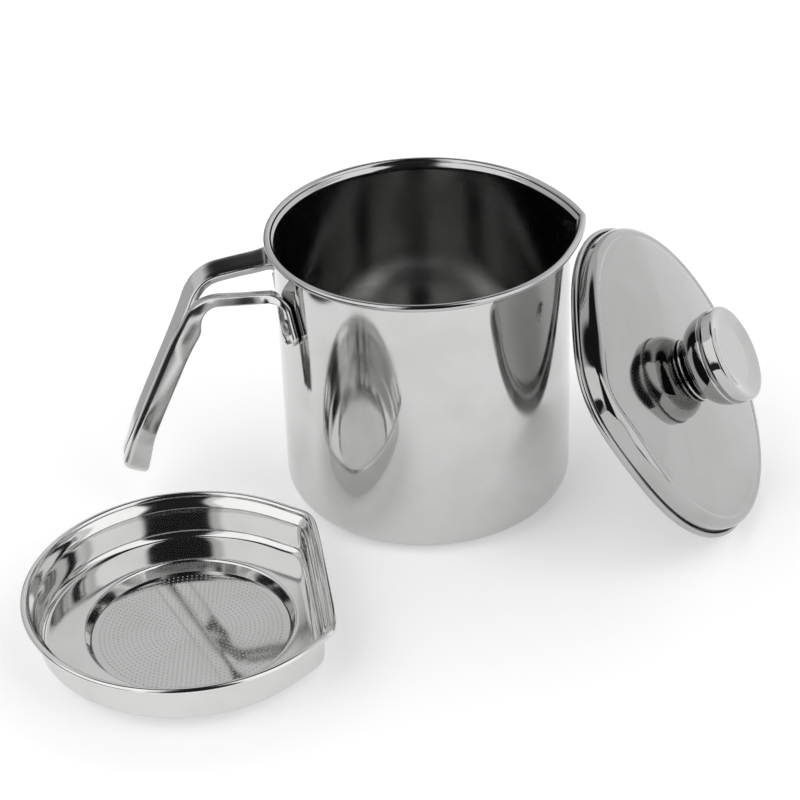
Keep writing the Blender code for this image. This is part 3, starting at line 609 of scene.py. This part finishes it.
def handle_corners():
    """Corners of the half's path as (reach, offset, height), from the tab's end to the grip's tip."""
    turn = math.radians(RIVET_ANGLE)
    seat = WALL_RADIUS + SEAT_GAP
    out = Vector((math.cos(turn), math.sin(turn), 0.0))
    aside = Vector((-math.sin(turn), math.cos(turn), 0.0))
    slip = (ARM_OFFSET_AT_WALL - out.y * seat) / aside.y
    end_slip = math.radians(TAB_END_ANGLE - RIVET_ANGLE) * seat
    middle = (GRIP_HALF_WIDTH + SEAT_GAP / 2) / 2
    return [out * seat + aside * end_slip + UP * TAB_END_HEIGHT,
            out * seat + aside * slip + UP * ARM_HEIGHT_AT_WALL, ELBOW,
            Vector((SEAM_REACH, middle, SEAM_HEIGHT)),
            Vector((GRIP_BEND_REACH, middle, GRIP_BEND_HEIGHT)),
            Vector((GRIP_TIP_REACH, middle, GRIP_TIP_HEIGHT))]


def strip_section(width_in, width_out, depth, seam_depth, corner, seam_corner, web, top):
    """The bent strip end on: a web, a deep outer flange and a flange at the seam, edges rounded."""
    corner = min(corner, width_in + width_out - seam_corner - STRIP / 4)
    spare = max(depth - top - web, STRIP / 4)
    hollow = min(max(corner - STRIP, STRIP / 4), spare / 2)
    seam_hollow = min(max(seam_corner - STRIP, STRIP / 4), spare / 2)
    roof, edge = spare - depth, STRIP / 2
    outline = arc(seam_corner - width_in, -top - seam_corner, seam_corner, 180.0, 90.0, SEAM_CORNER_STEPS)
    outline += run((seam_corner - width_in, -top), (width_out - corner, -top), WEB_STEPS)
    outline += arc(width_out - corner, -top - corner, corner, 90.0, 0.0, CORNER_STEPS)
    outline += arc(width_out - edge, edge - depth, edge, 0.0, -180.0, EDGE_STEPS)
    inner_out, inner_in = width_out - STRIP - hollow, STRIP + seam_hollow - width_in
    outline += arc(inner_out, roof - hollow, hollow, 0.0, 90.0, HOLLOW_STEPS)
    outline += run((inner_out, roof), (inner_in, roof), WEB_STEPS)
    outline += arc(inner_in, roof - seam_hollow, seam_hollow, 90.0, 180.0, SEAM_HOLLOW_STEPS)
    lowest = min(-seam_depth, roof - seam_hollow - STRIP)
    return outline + arc(edge - width_in, lowest + edge, edge, 0.0, -180.0, EDGE_STEPS)


def wrap_on_wall(spot, share):
    """Bend a point of the tab's flat plan round the pot's wall, and keep it clear of the wall."""
    turn, seat = math.radians(RIVET_ANGLE), WALL_RADIUS + SEAT_GAP
    bent = turn + (math.cos(turn) * spot.y - math.sin(turn) * spot.x) / seat
    reach = math.cos(turn) * spot.x + math.sin(turn) * spot.y
    wrapped = spot.lerp(Vector((reach * math.cos(bent), reach * math.sin(bent), spot.z)), share)
    push = max(seat / math.hypot(wrapped.x, wrapped.y), 1.0)
    return Vector((wrapped.x * push, wrapped.y * push, wrapped.z))


# %% Stations of the handle
# A stage is a place along the path: 0 at the tab's end, one more at each corner, 5 at the grip's tip.
HALF_GRIP = (GRIP_HALF_WIDTH - SEAT_GAP / 2) / 2
TAB_SECTION = (TAB_WIDTH / 2, TAB_WIDTH / 2, TAB_DEPTH, TAB_SEAM_DEPTH, TAB_CORNER, TAB_SEAM_CORNER,
               STRIP, 0.0)
ARM_SECTION = (ARM_INNER_WIDTH, ARM_OUTER_WIDTH, ARM_DEPTH, ARM_DEPTH, ARM_CORNER, ARM_CORNER,
               STRIP, 0.0)
GRIP_SECTION = (HALF_GRIP, HALF_GRIP, GRIP_DEPTH, GRIP_SEAM_DEPTH, GRIP_CORNER, SEAM_CORNER,
                STRIP, 0.0)
TIP_SECTION = GRIP_SECTION[:2] + (GRIP_TIP_DEPTH,) + GRIP_SECTION[3:]
SECTION_TABLE = [(0.60, TAB_SECTION), (1.30, ARM_SECTION), (1.75, ARM_SECTION), (2.58, GRIP_SECTION),
                 (4.00, GRIP_SECTION), (5.00, TIP_SECTION)]


def section_sizes(stage):
    """The section's sizes at a stage, blended between the entries of the table."""
    if stage <= SECTION_TABLE[0][0]:
        return list(SECTION_TABLE[0][1])
    for (low, first), (high, second) in zip(SECTION_TABLE, SECTION_TABLE[1:]):
        if stage <= high:
            share = smooth_share((stage - low) / (high - low))
            return [p + (q - p) * share for p, q in zip(first, second)]
    return list(SECTION_TABLE[-1][1])


def round_tab_end(stations):
    """Narrow the first stations so that the tab ends in a half round."""
    point, ahead, upper, sizes, on_wall = stations[0]
    rounded = []
    for k in range(TAB_END_STEPS):
        share = 1.0 - math.sin(math.radians(90.0) * k / TAB_END_STEPS)
        narrow = TAB_ROUND * (1.0 - math.sqrt(1.0 - share * share * TAB_END_BLUNTNESS))
        ends = list(sizes)
        ends[0] -= narrow
        ends[1] -= narrow
        rounded.append((point + ahead * TAB_ROUND * (1.0 - share), ahead, upper, ends, on_wall))
    start = point + ahead * (TAB_ROUND + STRIP)
    while (stations[0][0] - start).dot(ahead) < 0.0:
        stations.pop(0)
    return rounded + stations


def strip_tilt(stage):
    """The strip leans to its side as far as the middle of the grip, and lies level at the tip."""
    low, high = TILT_STAGES
    return math.radians(RIVET_ANGLE) * (1.0 - smooth_share((stage - low) / (high - low)))


def top_normal(ahead, stage):
    """The strip's top looks up from the path and leans to its own side."""
    tilt = strip_tilt(stage)
    upper = Vector((-ahead.z, 0.0, ahead.x)).normalized() * math.cos(tilt)
    upper -= Vector((0.0, math.sin(tilt), 0.0))
    return (upper - ahead * upper.dot(ahead)).normalized()


def eased_normal(samples, point, ahead):
    """The mean of the top normals nearby, so that the twist in the elbow starts and ends gently."""
    total = Vector()
    for before, here, after in zip(samples, samples[1:], samples[2:]):
        span = (after[0] - before[0]).length
        weight = max(1.0 - (here[0] - point).length / TWIST_REACH, 0.0)
        total += top_normal(here[1], here[2]) * span * weight
    return (total - ahead * total.dot(ahead)).normalized()


def handle_stations():
    """Stations from the tab's round end to the grip's closed tip."""
    samples = rounded_path(handle_corners(), BENDS)
    stations = []
    for point, ahead, stage in samples:
        upper = top_normal(ahead, stage)
        if TWIST_STAGES[0] < stage < TWIST_STAGES[1]:
            upper = eased_normal(samples, point, ahead)
        low, high = WRAP_STAGES
        on_wall = 1.0 - smooth_share((stage - low) / (high - low))
        sizes = section_sizes(stage)
        low, high = SEAM_STAGES
        to_seam = (point.y - SEAT_GAP / 2) / math.cos(strip_tilt(stage))
        sizes[0] += (to_seam - sizes[0]) * smooth_share((stage - low) / (high - low))
        stations.append((point, ahead, upper, sizes, on_wall))
    point, ahead, upper, sizes, on_wall = stations.pop()
    open_end = point - ahead * (TIP_ROUND + TIP_WALL / 2)
    while (stations[-1][0] - open_end).dot(ahead) > 0.0:
        stations.pop()
    stations.append((open_end, ahead, upper, sizes, on_wall))
    sweep_angle = math.radians(TIP_SWEEP)
    for k in range(TIP_STEPS + 1):
        share = math.sin(sweep_angle * k / TIP_STEPS) / math.sin(sweep_angle)
        drawn_in = TIP_ROUND * (1.0 - math.sqrt(1.0 - (share * math.sin(sweep_angle)) ** 2))
        # The web grows to the full depth, which closes the tip.
        closed = list(sizes)
        closed[1] -= drawn_in
        closed[2] -= drawn_in * TIP_EDGE_SHARE
        closed[3] = closed[6] = closed[2]
        closed[7] = drawn_in * TIP_SLOPE_SHARE
        stations.append((point - ahead * TIP_ROUND * (1.0 - share), ahead, upper, closed, on_wall))
    return round_tab_end(stations)


# %% Both handle strips


def sweep(stations, side):
    """Extrude the section from station to station, then close both ends."""
    bm = bmesh.new()
    ring = None
    for point, ahead, upper, sizes, on_wall in stations:
        aside = upper.cross(ahead)
        aside = -aside if aside.y < 0.0 else aside
        spots = [wrap_on_wall(point + aside * s + upper * u, on_wall) for s, u in strip_section(*sizes)]
        spots = [Vector((-spot.x, side * spot.y, spot.z)) for spot in spots]
        if ring is None:
            ring = [bm.verts.new(spot) for spot in spots]
            edges = [bm.edges.new(pair) for pair in zip(ring, ring[1:] + ring[:1])]
            bmesh.ops.contextual_create(bm, geom=edges)
            continue
        made = bmesh.ops.extrude_edge_only(bm, edges=edges)["geom"]
        edges = [item for item in made if isinstance(item, bmesh.types.BMEdge)
                 and all(end in made for end in item.verts)]
        joined = {vert: [e.other_vert(vert) for e in vert.link_edges if e.other_vert(vert) in ring][0]
                  for vert in made if isinstance(vert, bmesh.types.BMVert)}
        follows = {old: new for new, old in joined.items()}
        ring = [follows[old] for old in ring]
        for vert, spot in zip(ring, spots):
            vert.co = spot
    bmesh.ops.contextual_create(bm, geom=edges)
    bmesh.ops.recalc_face_normals(bm, faces=bm.faces)
    return bm


handle_steel = steel("polished handle steel", tone=0.62, roughness=0.13, grain=0.02)
for name, side in (("near", -1.0), ("far", 1.0)):
    bm = sweep(handle_stations(), side)
    piece("handle_strip_" + name, bm, "pot", ["handle_half_" + name], handle_steel)

# %% [markdown]
# ## The rivets
#
# A solid rivet goes through each tab and the wall. Its domed head is outside, and its tail is
# hammered flat inside. It is a turned solid, so its outline is spun as a closed body, and a
# matrix then lays its axis along the line that points out of the wall.

# %% Rivets
RIVET_HEAD_RADIUS = 0.0037
RIVET_HEAD_DEPTH = 0.0016
RIVET_SHANK_RADIUS = 0.0020
RIVET_TAIL_RADIUS = 0.0031
RIVET_TAIL_DEPTH = 0.0010
TAIL_FACE_SHARE = 0.8
TAIL_EDGE_SHARE = 0.6
RIVET_DOME_STEPS = 12
SMALL_STEPS = 48

rivet_steel = steel("rivet steel", tone=0.46, roughness=0.36, grain=0.10, lines=5000.0)
inner = WALL_RADIUS - POT_SHEET - SEAT_GAP
seat = WALL_RADIUS + 2 * SEAT_GAP + STRIP
section = [(0.0, inner - RIVET_TAIL_DEPTH),
           (RIVET_TAIL_RADIUS * TAIL_FACE_SHARE, inner - RIVET_TAIL_DEPTH),
           (RIVET_TAIL_RADIUS, inner - RIVET_TAIL_DEPTH * TAIL_EDGE_SHARE), (RIVET_TAIL_RADIUS, inner),
           (RIVET_SHANK_RADIUS, inner), (RIVET_SHANK_RADIUS, seat), (RIVET_HEAD_RADIUS, seat)]
dome = [math.radians(90.0 * k / RIVET_DOME_STEPS) for k in range(1, RIVET_DOME_STEPS)]
section += [(RIVET_HEAD_RADIUS * math.cos(rise), seat + RIVET_HEAD_DEPTH * math.sin(rise))
            for rise in dome]
section += [(0.0, seat + RIVET_HEAD_DEPTH)]
for name, side in (("near", -1.0), ("far", 1.0)):
    turn = math.radians(180.0 - side * RIVET_ANGLE)
    out = Vector((math.cos(turn), math.sin(turn), 0.0))
    place = Matrix.Translation(UP * RIVET_HEIGHT) @ UP.rotation_difference(out).to_matrix().to_4x4()
    piece("rivet_dome_" + name, spun(section, SMALL_STEPS), "pot", ["rivet_" + name],
          rivet_steel, place=place)

# %% [markdown]
# ## The strainer
#
# The strainer is a shallow dish that hangs by its rolled rim in the pot's mouth. Its wall is cut
# off straight on one side, so that fat can run past it to the lip. A short well in the floor
# carries the sieve on a narrow ledge. It is spun as a round dish first. Then each ring is pressed
# in to a straight chord on one side, with a small swell where the chord meets the round.

# %% Strainer sizes
STRAINER_PLACE = Vector((-0.1175, -0.1035, 0.0))
STRAINER_TURN = 1.35
PAN_SHEET = 0.0006
PAN_RIM_RADIUS = 0.0705
PAN_BEAD_RADIUS = 0.0015
PAN_FLARE_HEIGHT = 0.0060
PAN_DEPTH = 0.0212
PAN_FILLET = 0.0045
PAN_CHORD = 0.0602
CORNER_POWER = 40.0
CORNER_SWELL = 0.0018
CORNER_SPREAD = 7.0
WELL_RADIUS = 0.0452
WELL_DEPTH = 0.0052
WELL_FOLD = 0.0010
WELL_DRAFT = 12.0
LEDGE_WIDTH = 0.0030
WELL_FOLD_STEPS = 8
PAN_FILLET_STEPS = 10
PAN_RIM_STEPS = 14
LEDGE_RINGS = 2
PAN_FLOOR_RINGS = 5
PAN_WALL_RINGS = 4
PAN_STEPS = 320

strainer_frame = Matrix.Translation(STRAINER_PLACE) @ Matrix.Rotation(math.radians(STRAINER_TURN), 4, "Z")
pan_wall = WALL_RADIUS - POT_SHEET - SEAT_GAP - PAN_SHEET / 2
pan_base = PAN_SHEET / 2


def pressed(radius, turn):
    """Plan radius of a ring of the dish whose pouring side is pressed in to a straight chord."""
    chord = PAN_CHORD + radius - PAN_RIM_RADIUS
    corner = math.degrees(math.acos(chord / radius))
    off = (abs(math.degrees(turn)) - corner - CORNER_SPREAD / 2) / CORNER_SPREAD
    full = radius + CORNER_SWELL * math.exp(-off * off)
    if math.cos(turn) <= 0.0:
        return full
    ratio = full * math.cos(turn) / chord
    return full / (1.0 + ratio ** CORNER_POWER) ** (1.0 / CORNER_POWER)


def chord_plan(radius, turn, height):
    """Press the wall whole, and let the flat floor between the well and the wall follow evenly."""
    turn = crowd(turn)
    well, wall = WELL_RADIUS + WELL_FOLD, pan_wall - PAN_FILLET + PAN_SHEET / 2
    if radius >= wall:
        return pressed(radius, turn), turn
    share = max(radius - well, 0.0) / (wall - well)
    return radius + (pressed(wall, turn) - wall) * share, turn


# %% Strainer dish
floor_z = pan_base + WELL_DEPTH
rim_z = WELL_DEPTH + PAN_DEPTH
curl = PAN_BEAD_RADIUS - PAN_SHEET / 2
bead = (PAN_RIM_RADIUS - PAN_BEAD_RADIUS, rim_z - PAN_BEAD_RADIUS)
fillet = PAN_FILLET - PAN_SHEET / 2
ledge = WELL_RADIUS - 2 * WELL_FOLD
line = [(ledge - LEDGE_WIDTH, pan_base)]
line += run((ledge - LEDGE_WIDTH, pan_base), (ledge - WELL_FOLD, pan_base), LEDGE_RINGS)
line += arc(ledge - WELL_FOLD, pan_base + WELL_FOLD, WELL_FOLD, -90.0, -WELL_DRAFT, WELL_FOLD_STEPS)
line += arc(WELL_RADIUS + WELL_FOLD, floor_z - WELL_FOLD, WELL_FOLD, 180.0 - WELL_DRAFT, 90.0,
            WELL_FOLD_STEPS)
line += run((WELL_RADIUS + WELL_FOLD, floor_z), (pan_wall - fillet, floor_z), PAN_FLOOR_RINGS)
line += arc(pan_wall - fillet, floor_z + fillet, fillet, -90.0, 0.0, PAN_FILLET_STEPS)
line += run((pan_wall, floor_z + fillet), (pan_wall, rim_z - PAN_FLARE_HEIGHT), PAN_WALL_RINGS)
line += flare(pan_wall, bead[0] - curl, rim_z, PAN_FLARE_HEIGHT, PAN_BEAD_RADIUS)
line += arc(*bead, curl, 180.0, BEAD_END_ANGLE, PAN_RIM_STEPS)
bm = spun(line, PAN_STEPS)
reshape(bm, chord_plan)
# The strainer is the pot's steel, but its tone is set higher, 0.70 against 0.60: painted light that
# brightens its walls.
strainer_steel_with_painted_light = steel("polished strainer steel with painted light", tone=0.70, roughness=0.085, grain=0.02, smudge=0.03,
                       frame_at=strainer_frame)
piece("strainer_dish", bm, "strainer", ["strainer_pan"], strainer_steel_with_painted_light, PAN_SHEET,
      place=strainer_frame)

# %% [markdown]
# ## The sieve
#
# The sieve is a flat disc punched with more than a thousand small holes in rings. Cutting them one
# by one with booleans would be slow. Instead the outline of the disc and of every hole is laid out
# flat as circles, one fill closes the sheet between them, and an extrusion gives the disc its
# thickness, which also makes the walls of the holes. Eight sides are enough for each hole.

# %% Sieve disc
SIEVE_SHEET = 0.0005
SIEVE_FIELD_RADIUS = 0.0393
SIEVE_RINGS = 20
MORE_PER_RING = 6
SIEVE_HOLE_RADIUS = 0.00040
HOLE_SIDES = 8
RING_TURN = 0.37

sieve_radius = WELL_RADIUS - 2 * WELL_FOLD - PAN_SHEET / 2 - SEAT_GAP
sieve_low = PAN_SHEET + SEAT_GAP
bm = bmesh.new()
bmesh.ops.create_circle(bm, cap_ends=False, segments=ROUND_STEPS // 2, radius=sieve_radius)
hole_count = 0
for ring in range(SIEVE_RINGS + 1):
    ring_radius = SIEVE_FIELD_RADIUS * ring / SIEVE_RINGS
    holes_in_ring = max(MORE_PER_RING * ring, 1)
    for k in range(holes_in_ring):
        turn = math.tau * (k + RING_TURN * ring) / holes_in_ring
        at = Matrix.Translation((ring_radius * math.cos(turn), ring_radius * math.sin(turn), 0.0))
        bmesh.ops.create_circle(bm, cap_ends=False, segments=HOLE_SIDES, radius=SIEVE_HOLE_RADIUS,
                                matrix=at)
        hole_count += 1
bmesh.ops.triangle_fill(bm, use_beauty=True, edges=bm.edges, normal=UP)
bmesh.ops.translate(bm, vec=UP * sieve_low, verts=bm.verts)
raised = bmesh.ops.extrude_face_region(bm, geom=bm.faces, use_keep_orig=True)["geom"]
raised = [item for item in raised if isinstance(item, bmesh.types.BMVert)]
bmesh.ops.translate(bm, vec=UP * SIEVE_SHEET, verts=raised)
bmesh.ops.recalc_face_normals(bm, faces=bm.faces)
sieve_steel = steel("punched sieve steel", tone=0.60, roughness=0.045, grain=0.02, smudge=0.03,
                    frame_at=strainer_frame)
sieve = piece("sieve_sheet", bm, "strainer", ["sieve_disc"], sieve_steel,
              place=strainer_frame)
sieve.data.shade_flat()
print(hole_count, "holes in the sieve")

# %% [markdown]
# ## The lid
#
# The lid is pressed sheet too: an outward curl, a short upright band that fits over the strainer's
# rim, a round shoulder, a fine crease and a low dome. A beak on one side covers the pour lip. It is
# spun round, its edge is then drawn out to the beak, and the finished lid is turned and leaned so
# that it stands on its curl beside the pot, dome outward.

# %% Lid sizes and place
LID_X = 0.1033
LID_Y = -0.0376
LID_TURN = -23.5
LID_LEAN = 32.06
LID_BEAK_TURN = 27.8
LID_SHEET = 0.0006
LID_CURL_RADIUS = 0.0015
LID_CURL_START = 100.0
LID_BAND_HEIGHT = 0.0052
LID_SHOULDER = 0.0040
LID_SHOULDER_SWEEP = 80.0
CREASE_DIP = 0.0003
CREASE_WIDTH = 0.0022
DOME_HEIGHT = 0.0148
BEAK_REACH = 0.0084
BEAK_EDGE_ANGLE = 20.0
BEAK_CREASE_ANGLE = 12.5
LID_FIT_GAP = 0.0004
DISHED_SHARE = 0.66
SCREW_RADIUS = 0.0024
CURL_STEPS = 14
BAND_RINGS = 3
SHOULDER_STEPS = 12
CREASE_STEPS = 6
DOME_STEPS = 22

lid_band = PAN_RIM_RADIUS + LID_FIT_GAP + LID_SHEET / 2


def lean_matrix():
    """The lid's own frame: beak along its X, dome along its Z."""
    turn, lean, beak = math.radians(LID_TURN), math.radians(LID_LEAN), math.radians(LID_BEAK_TURN)
    face = Vector((math.cos(lean) * math.cos(turn), math.cos(lean) * math.sin(turn), math.sin(lean)))
    level = Vector((math.sin(turn), -math.cos(turn), 0.0))
    rise = level.cross(face)
    rise = -rise if rise.z < 0.0 else rise
    forward = level * math.cos(beak) + rise * math.sin(beak)
    axes = Matrix((forward, face.cross(forward), face)).transposed().to_4x4()
    return Matrix.Translation((LID_X, LID_Y, 0.0)) @ axes


def beak_plan(radius, turn, height):
    """Draw the band and the dome's edge out round +X, into a beak that narrows towards the dome."""
    turn = crowd(turn)
    inner, full = lid_band * DISHED_SHARE, lid_band - LID_SHOULDER
    up = smooth_share(height / (LID_BAND_HEIGHT + LID_SHOULDER))
    width = BEAK_EDGE_ANGLE + (BEAK_CREASE_ANGLE - BEAK_EDGE_ANGLE) * up
    share = smooth_share((radius - inner) / (full - inner))
    return radius + BEAK_REACH * share * math.exp(-(math.degrees(turn) / width) ** 2), turn


# %% Lid cover
curl = LID_CURL_RADIUS - LID_SHEET / 2
line = arc(lid_band + curl, 0.0, curl, LID_CURL_START, -180.0, CURL_STEPS)
line += run((lid_band, 0.0), (lid_band, LID_BAND_HEIGHT), BAND_RINGS)
line += arc(lid_band - LID_SHOULDER, LID_BAND_HEIGHT, LID_SHOULDER, 0.0, LID_SHOULDER_SWEEP,
            SHOULDER_STEPS)
crease_r, crease_z = line[-1]
line += [(crease_r - CREASE_WIDTH * k / CREASE_STEPS,
          crease_z - CREASE_DIP * math.sin(math.pi * k / CREASE_STEPS)) for k in range(1, CREASE_STEPS)]
edge_r, apex, hole = crease_r - CREASE_WIDTH, DOME_HEIGHT - LID_SHEET / 2, SCREW_RADIUS + SEAT_GAP
for k in range(DOME_STEPS + 1):
    share = 1.0 + (hole / edge_r - 1.0) * k / DOME_STEPS
    line.append((edge_r * share, apex - (apex - crease_z) * share * share))
bm = spun(line, ROUND_STEPS)
reshape(bm, beak_plan)
lid_frame = lean_matrix()
lowest = min((lid_frame @ vert.co).z for vert in bm.verts) - LID_SHEET / 2
lid_frame = Matrix.Translation(UP * -lowest) @ lid_frame
# The lid is the pot's steel, but its tone is set lower, 0.42 against 0.60: painted shade that darkens the
# whole lid.
lid_steel_with_painted_shade = steel("polished lid steel with painted shade", tone=0.42, roughness=0.045, grain=0.02, smudge=0.03,
                  frame_at=lid_frame)
piece("lid_cover", bm, "lid", ["lid_shell"], lid_steel_with_painted_shade, LID_SHEET, place=lid_frame)
print("lid's centre is", round(lid_frame.to_translation().z * 1000, 2), "mm above the floor")

# %% [markdown]
# ## The knob
#
# The hollow knob has three turned pieces: a flat ring that it stands on, a bowl, and a dished cap
# rolled over the bowl's edge. A screw from under the lid runs up into a nut inside. The screw, its
# washer and the nut are small and hidden, so they stay as the CAD made them, with a plain finish.

# %% Knob pieces
RING_RADIUS = 0.0150
RING_THICKNESS = 0.0012
KNOB_SHEET = 0.0008
KNOB_BASE_RADIUS = 0.0095
KNOB_SEAM_RADIUS = 0.0213
KNOB_SEAM_HEIGHT = 0.0300
FACE_RADIUS = 0.0219
FACE_HEIGHT = 0.0372
FACE_EDGE = 0.0012
FACE_DISH = 0.0018
FACE_FLAT = 0.0120
FACE_EDGE_STEPS = 9
BOWL_STEPS = 18
FLAT_STEPS = 6
DISH_STEPS = 12
CAP_SIDE_RINGS = 2
KNOB_STEPS = 128

knob_steel = steel("polished knob steel", tone=0.50, roughness=0.05, grain=0.02, frame_at=lid_frame)
bore = SCREW_RADIUS + SEAT_GAP
ring_low = DOME_HEIGHT + SEAT_GAP
half = RING_THICKNESS / 2
ring_section = [(bore, ring_low)]
ring_section += arc(RING_RADIUS - half, ring_low + half, half, -90.0, 90.0, FACE_EDGE_STEPS)
ring_section += [(bore, ring_low + RING_THICKNESS)]
piece("knob_foot_ring", spun(ring_section, KNOB_STEPS, loop=True), "lid", ["knob_ring"],
      knob_steel, place=lid_frame)

bowl_low = ring_low + RING_THICKNESS + SEAT_GAP + KNOB_SHEET / 2
spread = KNOB_SEAM_RADIUS - KNOB_SHEET / 2 - KNOB_BASE_RADIUS
bowl_rise = KNOB_SEAM_HEIGHT - bowl_low
bowl = [(bore + SEAT_GAP, bowl_low)]
for k in range(BOWL_STEPS + 1):
    turn = math.radians(90.0 * k / BOWL_STEPS)
    bowl.append((KNOB_BASE_RADIUS + spread * math.sin(turn),
                 bowl_low + bowl_rise * (1.0 - math.cos(turn))))
piece("knob_cup", spun(bowl, KNOB_STEPS), "lid", ["knob_bowl"], knob_steel, KNOB_SHEET,
      place=lid_frame)


def dish_share(share):
    """Rise of the face's slope: a short round at its foot, then straight to the edge."""
    return share * share * (2.0 - share)


edge = FACE_EDGE - KNOB_SHEET / 2
side = FACE_RADIUS - KNOB_SHEET / 2
top = FACE_HEIGHT - KNOB_SHEET / 2
crown = side - edge
cap_low = (side, KNOB_SEAM_HEIGHT + SEAT_GAP)
cap = [(FACE_FLAT * k / FLAT_STEPS, top - FACE_DISH) for k in range(FLAT_STEPS)]
cap += [(FACE_FLAT + (crown - FACE_FLAT) * k / DISH_STEPS,
         top - FACE_DISH * (1.0 - dish_share(k / DISH_STEPS))) for k in range(DISH_STEPS)]
cap += arc(crown, top - edge, edge, 90.0, 0.0, FACE_EDGE_STEPS)
cap += run((side, top - edge), cap_low, CAP_SIDE_RINGS) + [cap_low]
piece("knob_top", spun(cap, KNOB_STEPS), "lid", ["knob_cap"], knob_steel, KNOB_SHEET,
      place=lid_frame)

# %% Fastenings kept from the CAD
plain_steel = steel("turned fastening steel", tone=0.52, roughness=0.28, grain=0.12, smudge=0.08,
                    lines=6000.0, frame_at=lid_frame)
for name in ("knob_nut", "lid_screw", "screw_washer"):
    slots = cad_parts[name].material_slots
    for slot in slots:
        slot.material = plain_steel
    print(name, len(slots), "material slot")
